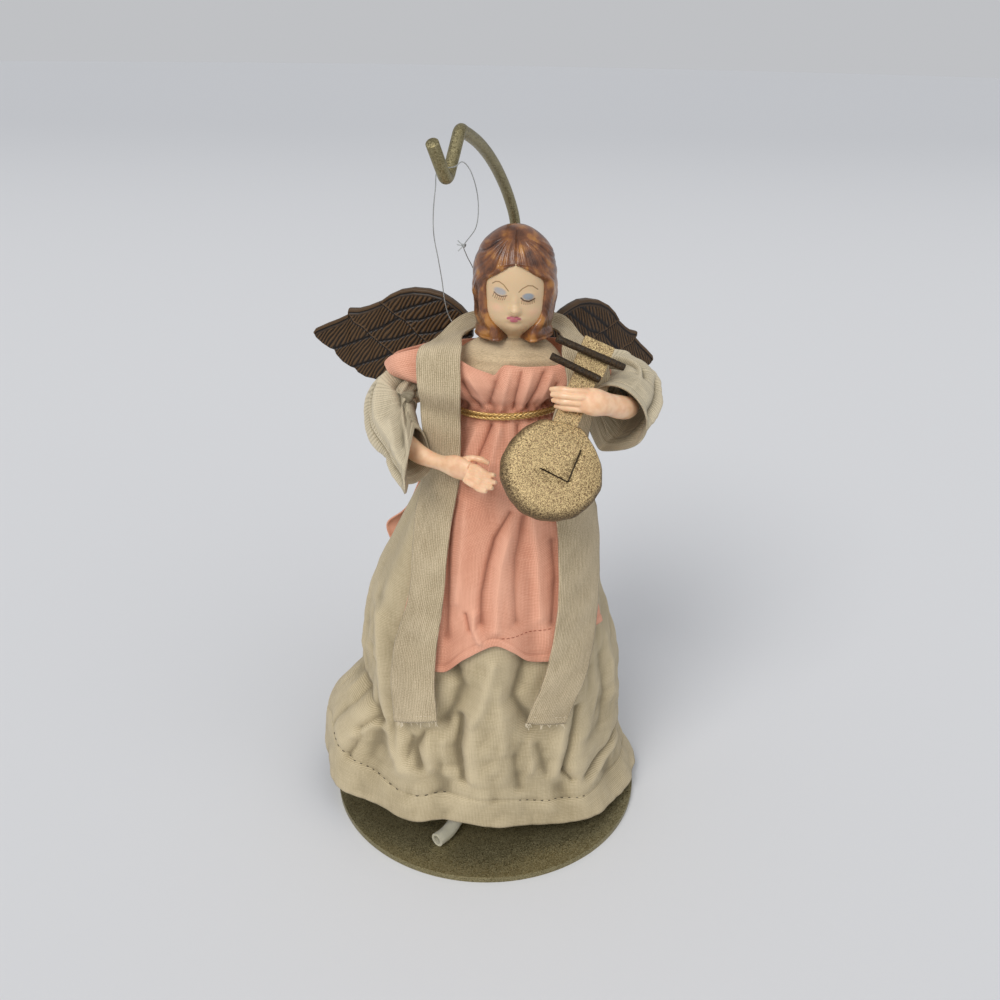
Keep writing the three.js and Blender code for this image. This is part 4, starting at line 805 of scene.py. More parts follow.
def skirt_point(angle, z, offset=0.0):
    angle, z = np.broadcast_arrays(np.asarray(angle, float), np.asarray(z, float))
    level = np.clip((waist_height - z) / (waist_height - hem_height(angle)), 0, 1)
    drop = ((waist_height - z) / (waist_height - plate_thickness))[..., None]
    a = np.radians(angle)

    def spread(side, waist, hem):
        return mix(waist, hem, through(spread_levels, spreads[side], level)) * mm

    half = np.where(np.sin(a) < 0, spread("left", 16, 67), spread("right", 16, 67))
    depth = np.where(np.cos(a) > 0, spread("front", 13, 50), spread("back", 12, 40))
    out = 2 * mm * step(0, 0.45, level) * (0.45 * np.cos(7 * a + 0.6) + 0.35 * np.cos(11 * a - 1.1))
    for place, width, height, run, share in creases:
        out = out - 5 * mm * share * bump(turned(angle - place), 0, width) * bump(level, height, run)
    normal = unit(ellipse(a, depth, half))
    centre = mix(waist_centre, hem_centre, drop) * figure_height
    flat = centre + ellipse(a, half, depth) + (out + offset)[..., None] * normal
    return np.concatenate([flat, z[..., None]], axis=-1)


print("waist at", round(waist_height / mm, 1), "mm")

# %% [markdown]
# Above the waist the body is a foam core. Its outline runs over into the skirt's at the belt,
# so that the tunic and the stole can lie on both without a step.

# %% The body above the waist
rise_shares = [0, 0.08, 0.2, 0.4, 0.6, 0.8, 1]
chest_half = [0.0764, 0.0766, 0.104, 0.178, 0.186, 0.158, 0.12]
chest_front = [0.0636, 0.0638, 0.0695, 0.072, 0.064, 0.047, 0.026]
chest_back = [0.059, 0.0592, 0.0625, 0.066, 0.064, 0.058, 0.04]
shoulder_rise = 0.1202 * figure_height
tunic_offset = 1.7 * mm


def chest_point(angle, z, offset):
    rise = (z - waist_height) / shoulder_rise
    a = np.radians(angle)
    half = through(rise_shares, chest_half, rise) * figure_height
    depth = np.where(np.cos(a) > 0, through(rise_shares, chest_front, rise),
        through(rise_shares, chest_back, rise)) * figure_height
    normal = unit(ellipse(a, depth, half))
    flat = waist_centre * figure_height + ellipse(a, half, depth)
    flat = flat + np.asarray(offset + 0 * half)[..., None] * normal
    return np.concatenate([flat, (z + 0 * half)[..., None]], axis=-1)


def body_point(angle, z, offset=0.0):
    angle, z, offset = np.broadcast_arrays(*(np.asarray(n, float) for n in (angle, z, offset)))
    low = skirt_point(angle, np.minimum(z, waist_height), tunic_offset + offset)
    share = step(0.04, 0.24, (z - waist_height) / shoulder_rise)[..., None]
    point = mix(low, chest_point(angle, np.maximum(z, waist_height), offset), share)
    return np.concatenate([point[..., :2], z[..., None]], axis=-1)


print("shoulders at", round((waist_height + shoulder_rise) / mm, 1), "mm")

# %% [markdown]
# Pressed folds run along crooked lines and cross each other. Noise gives lumps, not folds, so
# each one is a stroke over the cloth with its own width and depth, as if chalked on.

# %% Folds drawn as strokes
def creased(x, z, lines):
    """Ridges (+) and hollows (-) along lines of (across, height), width and depth, all in mm."""
    total = 0
    for points, width, depth in lines:
        nearest, _ = from_line(np.array(points) * mm, x, z)
        total = total + depth * mm * np.exp(-(nearest / (width * mm)) ** 1.4)
    return total


def strokes(angle, z, lines, radius=55 * mm):
    """The same, with the places across given in degrees round the body."""
    scale = radians(1) * radius / mm
    return creased(angle * scale * mm, z, [([(a * scale, up) for a, up in points], width, depth)
            for points, width, depth in lines])


print("strokes are ready")

# %% [markdown]
# The skirt is a bell of beige linen over a card cone, gathered at the waist and turned up
# once at the hem. It is one sheet all round, with folds of its own in front.

# %% The skirt
skirt_folds = [
    ([(-71, 36), (-66, 49), (-69, 54)], 2.0, -1.2), ([(-88, 88), (-84, 69), (-77, 52)], 3.4, 1.0),
    ([(84, 44), (70, 55), (72, 78)], 3.5, 0.9), ([(108, 70), (118, 44), (112, 20)], 4.0, -2.0),
    ([(128, 84), (136, 58), (148, 30)], 4.0, 2.0), ([(-112, 80), (-122, 50), (-116, 24)], 4.0, -2.0),
    ([(-136, 90), (-146, 60), (-158, 34)], 4.2, 1.8), ([(160, 70), (150, 44), (158, 22)], 3.0, -1.8),
    ([(-172, 60), (-166, 36), (-170, 18)], 3.0, 1.4)
]
# The same for the front, by the distance across in mm
front_folds = [
    ([(-13, 84), (-8.8, 74), (-11.6, 66), (-15, 59)], 3.6, -3.0),
    ([(2.3, 84), (-1.6, 67), (-5.2, 60), (-6.2, 48), (-5, 36)], 2.3, 1.9),
    ([(-8.7, 61), (-9.6, 48), (-7.8, 35)], 1.8, -2.8),
    ([(15, 84), (12.4, 76), (10.4, 69.6), (14, 63), (18, 57)], 3.8, -3.0),
    ([(5, 72), (6, 60), (7, 48)], 3.2, 1.1), ([(-21.9, 54), (-26.6, 44.8), (-25, 38)], 1.8, -2.1),
    ([(-21.5, 62), (-22.3, 50), (-20.5, 38)], 2.0, 1.5), ([(-28.2, 48), (-30.4, 39)], 1.6, -1.5),
    ([(-33, 54), (-32.5, 41), (-29, 36)], 1.7, 1.5),
    ([(-50.2, 42.5), (-43.8, 48.3), (-39.6, 49.5)], 1.5, -1.8),
    ([(-52, 39), (-45, 45.2), (-39, 46.2)], 1.5, 1.5), ([(-55.7, 30), (-50, 40)], 1.7, -1.6),
    ([(-41, 92), (-39.5, 73), (-38.3, 54), (-36, 42), (-32, 35)], 2.4, 1.9),
    ([(-44.5, 72), (-43.2, 56), (-41, 47)], 2.2, -1.7), ([(-50, 57), (-44, 51.5)], 1.8, -1.4),
    ([(35, 60), (34.4, 51.6), (33.2, 42), (31.2, 31.5)], 1.8, -2.2),
    ([(29.5, 55), (28.5, 42), (27.5, 32)], 2.4, 1.3), ([(31.2, 31.5), (34.9, 26.5)], 1.0, -1.9),
    ([(53, 31), (41, 25.5)], 1.8, -1.9), ([(52, 27), (43, 22)], 2.0, 1.0),
    ([(20.2, 47), (23.7, 33)], 2.0, -0.8), ([(10.9, 44), (13.3, 30)], 2.2, -1.2),
    ([(17, 50), (18, 36)], 1.8, 1.0), ([(-16, 50), (-14.5, 36)], 2.0, 1.1),
    ([(3, 36), (4, 26)], 2.4, -0.6), ([(44, 74), (47, 58), (46, 44)], 2.6, -1.2),
    ([(40, 80), (41.5, 62), (40, 46)], 2.4, 1.1)
]
seam_angles = [-180, -66, -50, -25, 17, 40, 60, 180]
seam_heights = [11, 18, 15, 12, 11.5, 10, 9.5, 11]


skirt_top = waist_height - 0.8 * mm


def skirt_surface(u, v):
    angle = 360 * u - 180
    z = mix(skirt_top, hem_height(angle), v)
    level = (waist_height - z) / (waist_height - hem_height(angle))
    x = np.radians(angle) * 55 * mm
    wrap = np.abs(angle) / 180
    covered = step(86 * mm, 90 * mm, z) * step(52, 44, np.abs(angle - 6))
    loose = step(0.25, 0.6, level) * (1 - covered)
    worn = waves(x, z, 19 * mm, 5) * 0.45 * mm + np.abs(waves(x, z, 11 * mm, 8)) * 0.4 * mm
    worn = worn * loose * (1 - step(0.93, 1.0, wrap))
    up = z - hem_height(angle)
    seam = up - through(seam_angles, seam_heights, angle) * mm
    hem = 0.3 * mm * step(0.4 * mm, -0.4 * mm, seam) - 0.45 * mm * bump(seam, 0, 0.6 * mm)
    near_hem = step(9 * mm, 2 * mm, up) * np.abs(waves(x, z * 0, 30 * mm, 2))
    hem = hem + 0.5 * mm * np.sin(x / (3.3 * mm)) * near_hem
    facing = step(0.0, 0.25, np.cos(np.radians(angle)))
    front = creased(skirt_point(angle, z)[..., 0], z, front_folds) * facing
    folds = strokes(angle, z, skirt_folds) + 1.15 * front * (1 - covered)
    return skirt_point(angle, z, folds + worn + hem)


def garment(node, surface, columns, rows, finish, slot, held, rests_on, **form):
    """A sheet of cloth that replaces a CAD node."""
    cloth, area, (width, length) = sheet_piece(node + "_cloth", surface, columns, rows, **form)
    dress(cloth, finish)
    width, length = max(width, area / length / 0.97) * 1.02, length * 1.02
    stands_for(cloth, node, "figure")


garment("skirt", skirt_surface, 360, 200, linen_beige, "beige_linen", "gathered", ["torso", "tree_cone"],
    closed=True)
print("the hem stands", round(min(hem_heights) * figure_height / mm, 1), "mm or more above the plate")

# %% [markdown]
# The hem is sewn with a dark running stitch that shows in places. Thread stands up from cloth
# and casts a shadow, so each stitch is a short tube that lies on the sheet.

# %% Stitches on the skirt's hem
def sewn(name, lines, radius, finish, node):
    """Short threads along lines of points, as one piece."""
    piece = mesh_piece(name, *gather([tube(line, radius, 6) for line in lines]))
    dress(piece, finish)
    stands_for(piece, node, "figure")
    print(name, len(lines), "threads")


def skirt_stitch(angle):
    """One stitch of the hem's seam, lying on the cloth."""
    turn = angle + np.linspace(0, 1.1, 5)
    height = hem_height(turn) + through(seam_angles, seam_heights, turn) * mm
    v = (skirt_top - height) / (skirt_top - hem_height(turn))
    base, wide = skirt_surface((turn + 180) / 360, v), skirt_point(turn, height, 0.01)
    lift = np.array([0.2, 0.48, 0.52, 0.48, 0.2])[:, None] * mm
    return base + unit(wide - skirt_point(turn, height)) * lift


dark_thread = Finish("dark thread", roughness=0.8)
dark_thread.colour((0.27, 0.24, 0.19))
seen_stitches = np.concatenate([np.arange(-67, -27, 3.1), np.arange(-22, -12, 3.1),
        np.arange(15, 45, 3.0)])
sewn("skirt_stitches", [skirt_stitch(a) for a in seen_stitches], 0.17 * mm, dark_thread, "skirt")

# %% [markdown]
# The tunic is two panels of salmon linen, gathered under the belt. The gathers start as
# narrow pleats at the cord and run out into soft folds. One function cuts both from their
# edges, tops and hems.

# %% The tunic's two panels
belt_level = 0.25
neck_keys = [-1, -0.8, -0.6, -0.42, -0.26, 0, 0.07, 0.104, 0.135, 0.17, 0.3, 0.5, 0.58, 0.66, 0.8, 1]
neck_heights = [0.786, 0.806, 0.819, 0.82, 0.818, 0.7995, 0.7945, 0.7925, 0.8005, 0.8055, 0.8045, 0.805,
    0.8095, 0.815, 0.803, 0.793]
edge_keys = [0, 0.06, 0.14, 0.22, 0.28, 0.6, 1]
front_edges = ([-82, -76, -66, -72, -80, -49, -40], [57, 56, 54, 72, 80, 63, 65])
back_edges = ([130, 130, 128, 108, 100, 106, 110], [260, 240, 232, 240, 240, 246, 238])
hem_keys = [-1, -0.593, -0.427, -0.298, -0.187, -0.057, 0.09, 0.275, 0.571, 0.85, 1]
tunic_hems = [0.352, 0.336, 0.364, 0.382, 0.389, 0.378, 0.354, 0.349, 0.362, 0.372, 0.372]


def panel_angle(s, t, edges):
    """The angle round the body at a place on a panel: s from -1 to 1 across it, t down it."""
    return mix(through(edge_keys, edges[0], t), through(edge_keys, edges[1], t), (s + 1) / 2)


def panel(s, t, top, hem, edges, folds, extra):
    top = height_at(top)
    hem = height_at(hem)
    z = np.where(t < belt_level, mix(top, waist_height, t / belt_level),
        mix(waist_height, hem, (t - belt_level) / (1 - belt_level)))
    angle = panel_angle(s, t, edges)
    gathers = 0.5 + 0.5 * np.cos(folds * pi * s + 0.7)
    loose = step(0, 0.22, np.abs(t - belt_level)) * step(1, 0.75, np.abs(s) * step(0.2, 0, t))
    soft = (0.9 + 0.8 * gathers) * mm * loose
    up = z - hem
    edge = 0.25 * mm * step(3.4 * mm, 2.6 * mm, up) - 0.3 * mm * bump(up, 2.8 * mm, 0.5 * mm)
    near = np.exp(-np.abs(t - belt_level) / 0.07)
    pleats = 0.35 * mm * np.sin(34 * s + 5 * waves(s, t * 0, 0.6, 4)) * near
    return body_point(angle, z, soft + edge + pleats + extra(s, t, z))


print("the belt lies a", belt_level, "share down each panel")

# %% [markdown]
# The front panel has a V at the neck, narrow pleats into the belt, and a hem that rises in
# the middle. Its folds are strokes by the place across and the height in mm.

# %% The tunic's front
chest_pleats = [
    ([(-9.4, 184), (-5.6, 176.5), (-0.2, 168.7)], 1.0, -1.7),
    ([(-7, 186), (-2.8, 179), (1.5, 169)], 1.2, 1.3),
    ([(3.0, 189), (1.4, 182.3), (-0.3, 176)], 0.9, -1.6),
    ([(7.1, 190), (4.9, 180.5), (3.6, 169.3)], 1.3, 1.3),
    ([(10.9, 189), (9.0, 179.4), (7.6, 169)], 0.9, -1.4),
    ([(14.7, 190), (11.8, 179.3), (9.6, 169.3)], 1.2, 1.3),
    ([(18.8, 189), (14.3, 178.4), (10.9, 169.2)], 0.9, -1.6),
    ([(21.3, 188), (17.8, 178), (14.2, 170)], 1.2, 1.1),
    ([(23.2, 184), (19.8, 175), (16.5, 170)], 1.0, -1.4),
    ([(-12.5, 188), (-8.5, 178), (-3.5, 170)], 1.2, 1.0)
]
tunic_folds = [
    ([(0.7, 168), (-3.2, 158.4), (-6.8, 148)], 1.0, -1.7),
    ([(3.4, 167), (1.2, 158), (-1.5, 146)], 1.4, 1.3),
    ([(7.6, 139), (2.6, 130), (0, 121), (-1.9, 111), (-2.1, 101)], 1.4, -1.9),
    ([(12.8, 137), (9.6, 124), (9.6, 112), (10.4, 101)], 1.9, -1.5),
    ([(23.4, 127), (24.8, 114), (23.8, 98)], 2.4, -1.3),
    ([(-4.3, 104), (-4.4, 99), (-2.2, 94.5)], 1.1, 1.7), ([(-7.2, 103.5), (-5.8, 98)], 0.9, -1.5),
    ([(-13.6, 138), (-13.8, 121), (-14.2, 95)], 1.6, -1.5),
    ([(7.0, 131), (4.6, 122), (3.6, 111), (3.4, 99)], 1.9, 1.6),
    ([(-7.5, 142), (-8.8, 127), (-10.5, 108)], 2.0, 1.4),
    ([(14, 142), (16.5, 127), (18.4, 101)], 2.2, 1.3), ([(10, 168), (10.4, 156), (9, 144)], 1.2, -1.4),
    ([(15, 168), (16.6, 155), (17.5, 142)], 1.4, 1.1),
    ([(-4.4, 166), (-8.6, 156), (-10.5, 144)], 1.3, 1.0)
]


def front_extra(s, t, z):
    x = body_point(panel_angle(s, t, front_edges), z)[..., 0]
    pleats = 0.8 * creased(x, z, chest_pleats) * step(0.0, 0.04, t) * step(0.248, 0.21, t)
    folds = creased(x, z, tunic_folds) * step(0.25, 0.3, t)
    return pleats + folds + waves(x, z, 15 * mm, 12) * 0.18 * mm * step(0.3, 0.5, t)


def front_surface(u, v):
    s = 2 * u - 1
    top, hem = through(neck_keys, neck_heights, s), through(hem_keys, tunic_hems, s)
    return panel(s, v, top, hem, front_edges, 6, front_extra)


garment("tunic_front", front_surface, 260, 280, linen_pink, "pink_linen", "hung", ["torso", "belt"])

# %% [markdown]
# The back panel is plainer. One corner of it turns out at the angel's right side.

# %% The tunic's back
def back_surface(u, v):
    s = 2 * u - 1
    top = mix(0.808, np.where(s < 0, 0.82, 0.78), s * s)

    def rumpled(s, t, z):
        worn = waves(s * 50 * mm, z, 17 * mm, 21) * 0.3 * mm * step(0.3, 0.5, t)
        return worn + 7.6 * mm * bump(z, 109.5 * mm, 7.5 * mm) * step(0.8, 1, s)

    return panel(s, v, top, 0.4 - 0.02 * np.cos(3 * pi * s), back_edges, 5, rumpled)


garment("tunic_back", back_surface, 150, 180, linen_pink, "pink_linen", "hung", ["torso", "belt"])

# %% [markdown]
# A level seam was sewn across the front panel near its hem, and shows as a broken line.

# %% Stitches on the tunic
def tunic_stitch(s):
    """One stitch of the level seam near the tunic's hem."""
    s = s + np.linspace(0, 0.026, 5)
    hem = height_at(through(hem_keys, tunic_hems, s))
    t = belt_level + (1 - belt_level) * (waist_height - 96 * mm) / (waist_height - hem)
    return front_surface((s + 1) / 2, t) - np.array([0, 0.42, 0])[None] * mm


rose_thread = Finish("rose thread", roughness=0.8)
rose_thread.colour((0.62, 0.34, 0.25))
level_seam = [tunic_stitch(s) for s in np.arange(-0.14, 0.35, 0.046)]
sewn("tunic_stitches", level_seam, 0.13 * mm, rose_thread, "tunic_front")

# %% [markdown]
# The belt is a gold cord, braided from two sets of strands that cross over each other. A bump
# map on one round cord would leave a smooth edge, so each strand is a tube of its own.

# %% The belt
belt_radius = 1.4 * mm
belt_turn = np.linspace(0, 2 * pi, 481)[:-1]
belt_line = skirt_point(np.degrees(belt_turn), waist_height + 0 * belt_turn,
    tunic_offset + 0.4 * mm + 2 * gap + belt_radius)
belt_line[:, 2] = waist_height + 0.42 * mm * np.sin(2 * belt_turn)
belt_along = unit(np.roll(belt_line, -1, axis=0) - np.roll(belt_line, 1, axis=0))
belt_out = unit(np.stack([belt_along[:, 1], -belt_along[:, 0], 0 * belt_turn], axis=1))
belt_up = np.cross(belt_out, belt_along)
belt_length = length_of(np.vstack([belt_line, belt_line[:1]]))
strands = []
for row, hand in ((0.62, 1), (-0.62, -1)):
    twists = round(belt_length / (5.2 * mm))
    for start in (0, 1, 2):
        turn = hand * twists * belt_turn + start * 2 * pi / 3
        reach = 0.38 * mm
        high, out = row * mm + reach * np.sin(turn), reach * np.cos(turn)
        strand = belt_line + belt_up * high[:, None] + belt_out * out[:, None]
        strands.append(tube(strand, 0.37 * mm, 8, closed=True))
belt = mesh_piece("belt_cord", *gather(strands))
cord_gold = Finish("gold cord", roughness=0.34, metallic=0.85)
glint = cord_gold.noise(cord_gold.place, 0.35 * mm, 2.0).between(0.25, 0.75)
cord_gold.colour(glint.toward((0.66, 0.49, 0.25), (0.97, 0.85, 0.58)))
cord_gold.relief(cord_gold.noise(cord_gold.place, 0.2 * mm, 2.0), 0.05 * mm)
dress(belt, cord_gold)
stands_for(belt, "belt", "figure")
print("belt:", round(belt_length / mm, 1), "mm round")

# %% [markdown]
# The stole is one long strip, 15.5 mm wide. Both sides hang down the front over the belt, and
# it stands up behind the neck like a collar. It is laid from end to end, so that the weave
# runs on without a seam.

# %% The line of the stole
# Height, place across, half width and lean of the strip, in mm, from its end up to the neck
hang_left = [
    (60, -25.9, 8.2, 3.0), (76, -27.2, 8.4, 2.2), (92, -25.6, 7.9, 1.6), (107.3, -22.2, 6.5, 1.0),
    (121, -21.0, 6.4, 1.0), (134, -20.0, 6.8, 1.0), (147.5, -17.4, 6.7, 0.8), (161, -16.8, 6.7, 0.5),
    (175, -17.2, 7.0, 0.4), (185, -17.6, 7.5, 0.5), (191, -18.0, 7.6, 0.6), (195, -17.6, 7.75, 0.7)
]
hang_right = [(61.5, 22.6, 7.4, -1.9), (69.9, 26.0, 7.7, -1.8), (78, 29.6, 8.2, -1.2),
    (90.6, 32.4, 8.2, -0.6), (103.7, 33.7, 7.8, -0.3), (118.2, 33.6, 7.8, 0), (132, 32.8, 7.7, 0),
    (154, 28.0, 7.3, 0), (173.7, 29.4, 7.3, 0), (184.6, 34.0, 7.5, 0), (194.4, 32.1, 7.75, 0)]
collar_middle = [(-0.061, -0.0064, 0.8335), (-0.0386, 0.03, 0.843), (-0.0107, 0.058, 0.8438),
    (0.0343, 0.0721, 0.8438), (0.0794, 0.0601, 0.8438), (0.1056, 0.0365, 0.842),
    (0.1227, 0.0021, 0.8335)]
collar_across = [(0.54, -0.21, 0.1), (0.49, -0.08, -0.18), (0.34, -0.34, -0.26), (0, -0.41, -0.31),
    (-0.34, -0.34, -0.26), (-0.44, -0.13, -0.18), (-0.46, -0.15, 0.08)]
stole_half, stole_length = 7.75 * mm, 410 * mm
hang_run = 0.38  # the share of its length that hangs on each side


def stole_offset(z):
    return 3.2 * mm + 3.0 * mm * bump(z, waist_height, 17 * mm)


def front_depth(x, z, offset):
    """Where the cloth lies, front to back, at a place across; it hangs clear beside the waist."""
    front, left, right = (body_point(a, z, offset) for a in (0.0, -90.0, 90.0))
    half = np.where(x < front[..., 0], front[..., 0] - left[..., 0], right[..., 0] - front[..., 0])
    share = np.clip((x - front[..., 0]) / (half + 17 * mm * bump(z, 172 * mm, 12 * mm)), -0.97, 0.97)
    return right[..., 1] + (front[..., 1] - right[..., 1]) * np.sqrt(1 - share * share)


def hang_point(rows, s, t):
    """A place on one hanging side: s from -1 to 1 across, t from 0 at the end to 1 at the neck."""
    heights, places, halves, leans = np.array(rows).T * mm
    z = mix(heights[0], heights[-1], t)
    x = through(heights, places, z) + s * through(heights, halves, z)
    z = z + s * through(heights, leans, z)
    return np.stack(np.broadcast_arrays(x, front_depth(x, z, stole_offset(z)), z), axis=-1)


def neck_end(rows, side):
    """Where a hanging side meets the collar: its middle or, with side 1 or -1, its edge."""
    return hang_point(rows, np.array(side), np.array(1.0))


def stole_middle(u, v):
    s = 2 * u - 1
    left = hang_point(hang_left, s, np.clip(v / hang_run, 0, 1))
    right = hang_point(hang_right, -s, np.clip((1 - v) / hang_run, 0, 1))
    first, last = neck_end(hang_left, 0.0), neck_end(hang_right, 0.0)
    middles = np.vstack([first, at(collar_middle), last])
    across = np.vstack([neck_end(hang_left, 1.0) - first, np.array(collar_across) * stole_half,
            neck_end(hang_right, -1.0) - last])
    run = np.clip((v - hang_run) / (1 - 2 * hang_run), 0, 1)
    collar = curve(middles, run) + curve(across, run) * s[..., None]
    return np.where((v < hang_run)[..., None], left,
        np.where((v > 1 - hang_run)[..., None], right, collar))


print("the stole is", round(2 * stole_half / mm, 1), "mm wide")

# %% [markdown]
# The strip lies on that line with a soft ripple and a rolled end.

# %% The stole's cloth
def stole_surface(u, v):
    point, s = eased(stole_middle(u, v), 7), 2 * u - 1
    ripple = waves(s * stole_half, v * stole_length, 16 * mm, 31) * 0.35 * mm
    end = np.minimum(v, 1 - v) * stole_length
    rolled = 0.25 * mm * np.sin(end / (1.1 * mm)) * step(3.4 * mm, 2.0 * mm, end)
    normal = unit(np.cross(np.gradient(point, axis=1), np.gradient(point, axis=0)))
    return point + normal * (ripple + rolled)[..., None]


garment("stole", stole_surface, 30, 560, weave_stole, "stole_weave", "draped",
    ["tunic_front", "tunic_back"], thickness=0.8 * mm)

# %% [markdown]
# The stole's ends are turned over once with a stitched line, and a few threads have come
# loose. They are thin tubes with a random bend, from a fixed seed.

# %% Loose threads
rng = np.random.default_rng(4)
frayed = []
for end, corner in ((0.0, 0.06), (1.0, 0.94)):
    for s in np.concatenate([rng.uniform(0, 1, 9), corner + rng.uniform(-0.05, 0.12, 8)]):
        root = stole_middle(np.clip(s, 0, 1), np.array(end))
        run = np.linspace(0, 1, 7)[:, None]
        way = np.array([rng.uniform(-0.7, 0.7), -0.5, rng.uniform(-1, 0.1)]) * rng.uniform(0.8, 2.2) * mm
        bow = np.array([rng.uniform(-0.6, 0.6), 0, -0.4]) * mm * run**2
        frayed.append(root + run * way + bow - (0, 0.3 * mm, 0))
for end, way in ((0.0, 1), (1.0, -1)):
    for s in np.arange(0.08, 0.9, 0.105):
        line = stole_middle(s + np.linspace(0, 0.06, 4), np.full(4, end + way * 0.0078))
        frayed.append(line - (0, 0.55 * mm, 0))
pale_thread = Finish("pale thread", roughness=0.85)
pale_thread.colour((0.88, 0.83, 0.73))
sewn("stole_threads", frayed, 0.1 * mm, pale_thread, "stole")

# %% [markdown]
# A scrap of fine knit is wrapped round the neck under the tunic: a short cone with soft
# ripples, widest under the tunic's edge.

# %% The neck piece
bodice_levels = [0, 0.25, 0.5, 0.75, 1]
bodice_heights = [0.836, 0.829, 0.816, 0.8, 0.778]
bodice_spreads = [0.0265, 0.038, 0.053, 0.06, 0.064]


def bodice_surface(u, v):
    a = 2 * pi * u
    spread = through(bodice_levels, bodice_spreads, v) * figure_height
    ripple = 1 + 0.04 * np.cos(5 * a + 0.8) * v
    centre = np.stack([mix(0.034, 0.0236, v), mix(0.004, 0, v),
            through(bodice_levels, bodice_heights, v)], axis=-1)
    folds = 0.13 * mm * np.sin(9 * v * pi + 2.2 * np.cos(a + 0.5)) * step(0, 0.3, v)
    out = spread * ripple + folds * step(0.4, 0.9, np.cos(a))
    flat = ellipse(a, mix(1.0, 1.5, v) * out, mix(1, 0.8, v) * out)
    return at(centre) + np.concatenate([flat, 0 * a[..., None]], axis=-1)


garment("bodice", bodice_surface, 160, 60, knit_neck, "neck_knit", "draped", ["torso"], closed=True)

# %% [markdown]
# The sleeves are wide tubes of sage linen with turned-up cuffs. A plain tube swept along the
# arm would be round and even, so each has its own shape: narrower than it is tall, with its
# cuff cut on a slant and folds pressed in.

# %% The sleeves' lines and folds
sleeve_right = [(-0.048, 0.004, 0.768, 0.024), (-0.088, 0.004, 0.761, 0.028),
    (-0.128, 0.004, 0.75, 0.03), (-0.154, -0.006, 0.732, 0.033), (-0.156, -0.036, 0.707, 0.034),
    (-0.137, -0.072, 0.687, 0.036), (-0.12, -0.1, 0.674, 0.041)]
sleeve_left = [(0.096, 0.004, 0.768, 0.024), (0.145, 0.004, 0.768, 0.029), (0.188, 0.0, 0.769, 0.035),
    (0.211, -0.03, 0.76, 0.044), (0.207, -0.062, 0.749, 0.05), (0.187, -0.092, 0.738, 0.0555)]


# Folds pressed into each sleeve: (degrees round from the top, mm along), width and depth in mm
sleeve_folds = {
    "sleeve_right": [([(62, 10), (72, 22), (68, 34), (62, 46)], 3.6, -3.6),
        ([(12, 20), (15, 34), (18, 50)], 1.2, 1.8), ([(55, 4), (95, 12), (130, 20)], 1.8, -2.6),
        ([(30, 6), (62, 17), (92, 28)], 1.5, 2.4),
        ([(10, 10), (38, 21), (64, 33), (80, 44)], 1.4, -2.8),
        ([(104, 24), (80, 34), (60, 44), (50, 54)], 1.4, 2.2),
        ([(-22, 8), (-42, 24), (-50, 40)], 1.7, 2.0), ([(-60, 14), (-80, 26), (-92, 38)], 1.6, -2.4),
        ([(150, 22), (120, 30), (96, 36)], 1.6, -2.2), ([(170, 30), (190, 40), (200, 50)], 1.6, -1.8),
        ([(30, 40), (20, 48), (14, 58)], 1.2, 1.6), ([(0, 28), (-12, 42), (-8, 56)], 1.4, -2.0),
        ([(-30, 44), (-36, 52), (-34, 60)], 1.3, 1.4)],
    "sleeve_left": [([(60, 8), (74, 20), (80, 34)], 1.5, -2.4),
        ([(20, 6), (30, 18), (44, 30)], 1.6, 2.2), ([(95, 20), (110, 34), (126, 44)], 1.4, -2.0),
        ([(-16, 10), (-10, 24), (4, 34)], 1.5, -2.4), ([(140, 16), (150, 30), (160, 40)], 1.4, 2.0),
        ([(36, 22), (48, 34), (54, 46)], 1.1, -1.8), ([(50, 24), (64, 36), (72, 46)], 1.2, 1.8),
        ([(-60, 8), (-50, 18), (-36, 26)], 1.3, -2.2), ([(-100, 14), (-84, 26), (-70, 36)], 1.5, 1.8),
        ([(82, 30), (90, 40), (94, 48)], 1.1, -1.8)],
}
print("folds:", {name: len(strokes_in) for name, strokes_in in sleeve_folds.items()})

# %% [markdown]
# Each sleeve runs from the shoulder to the cuff, and a few numbers shape its section.

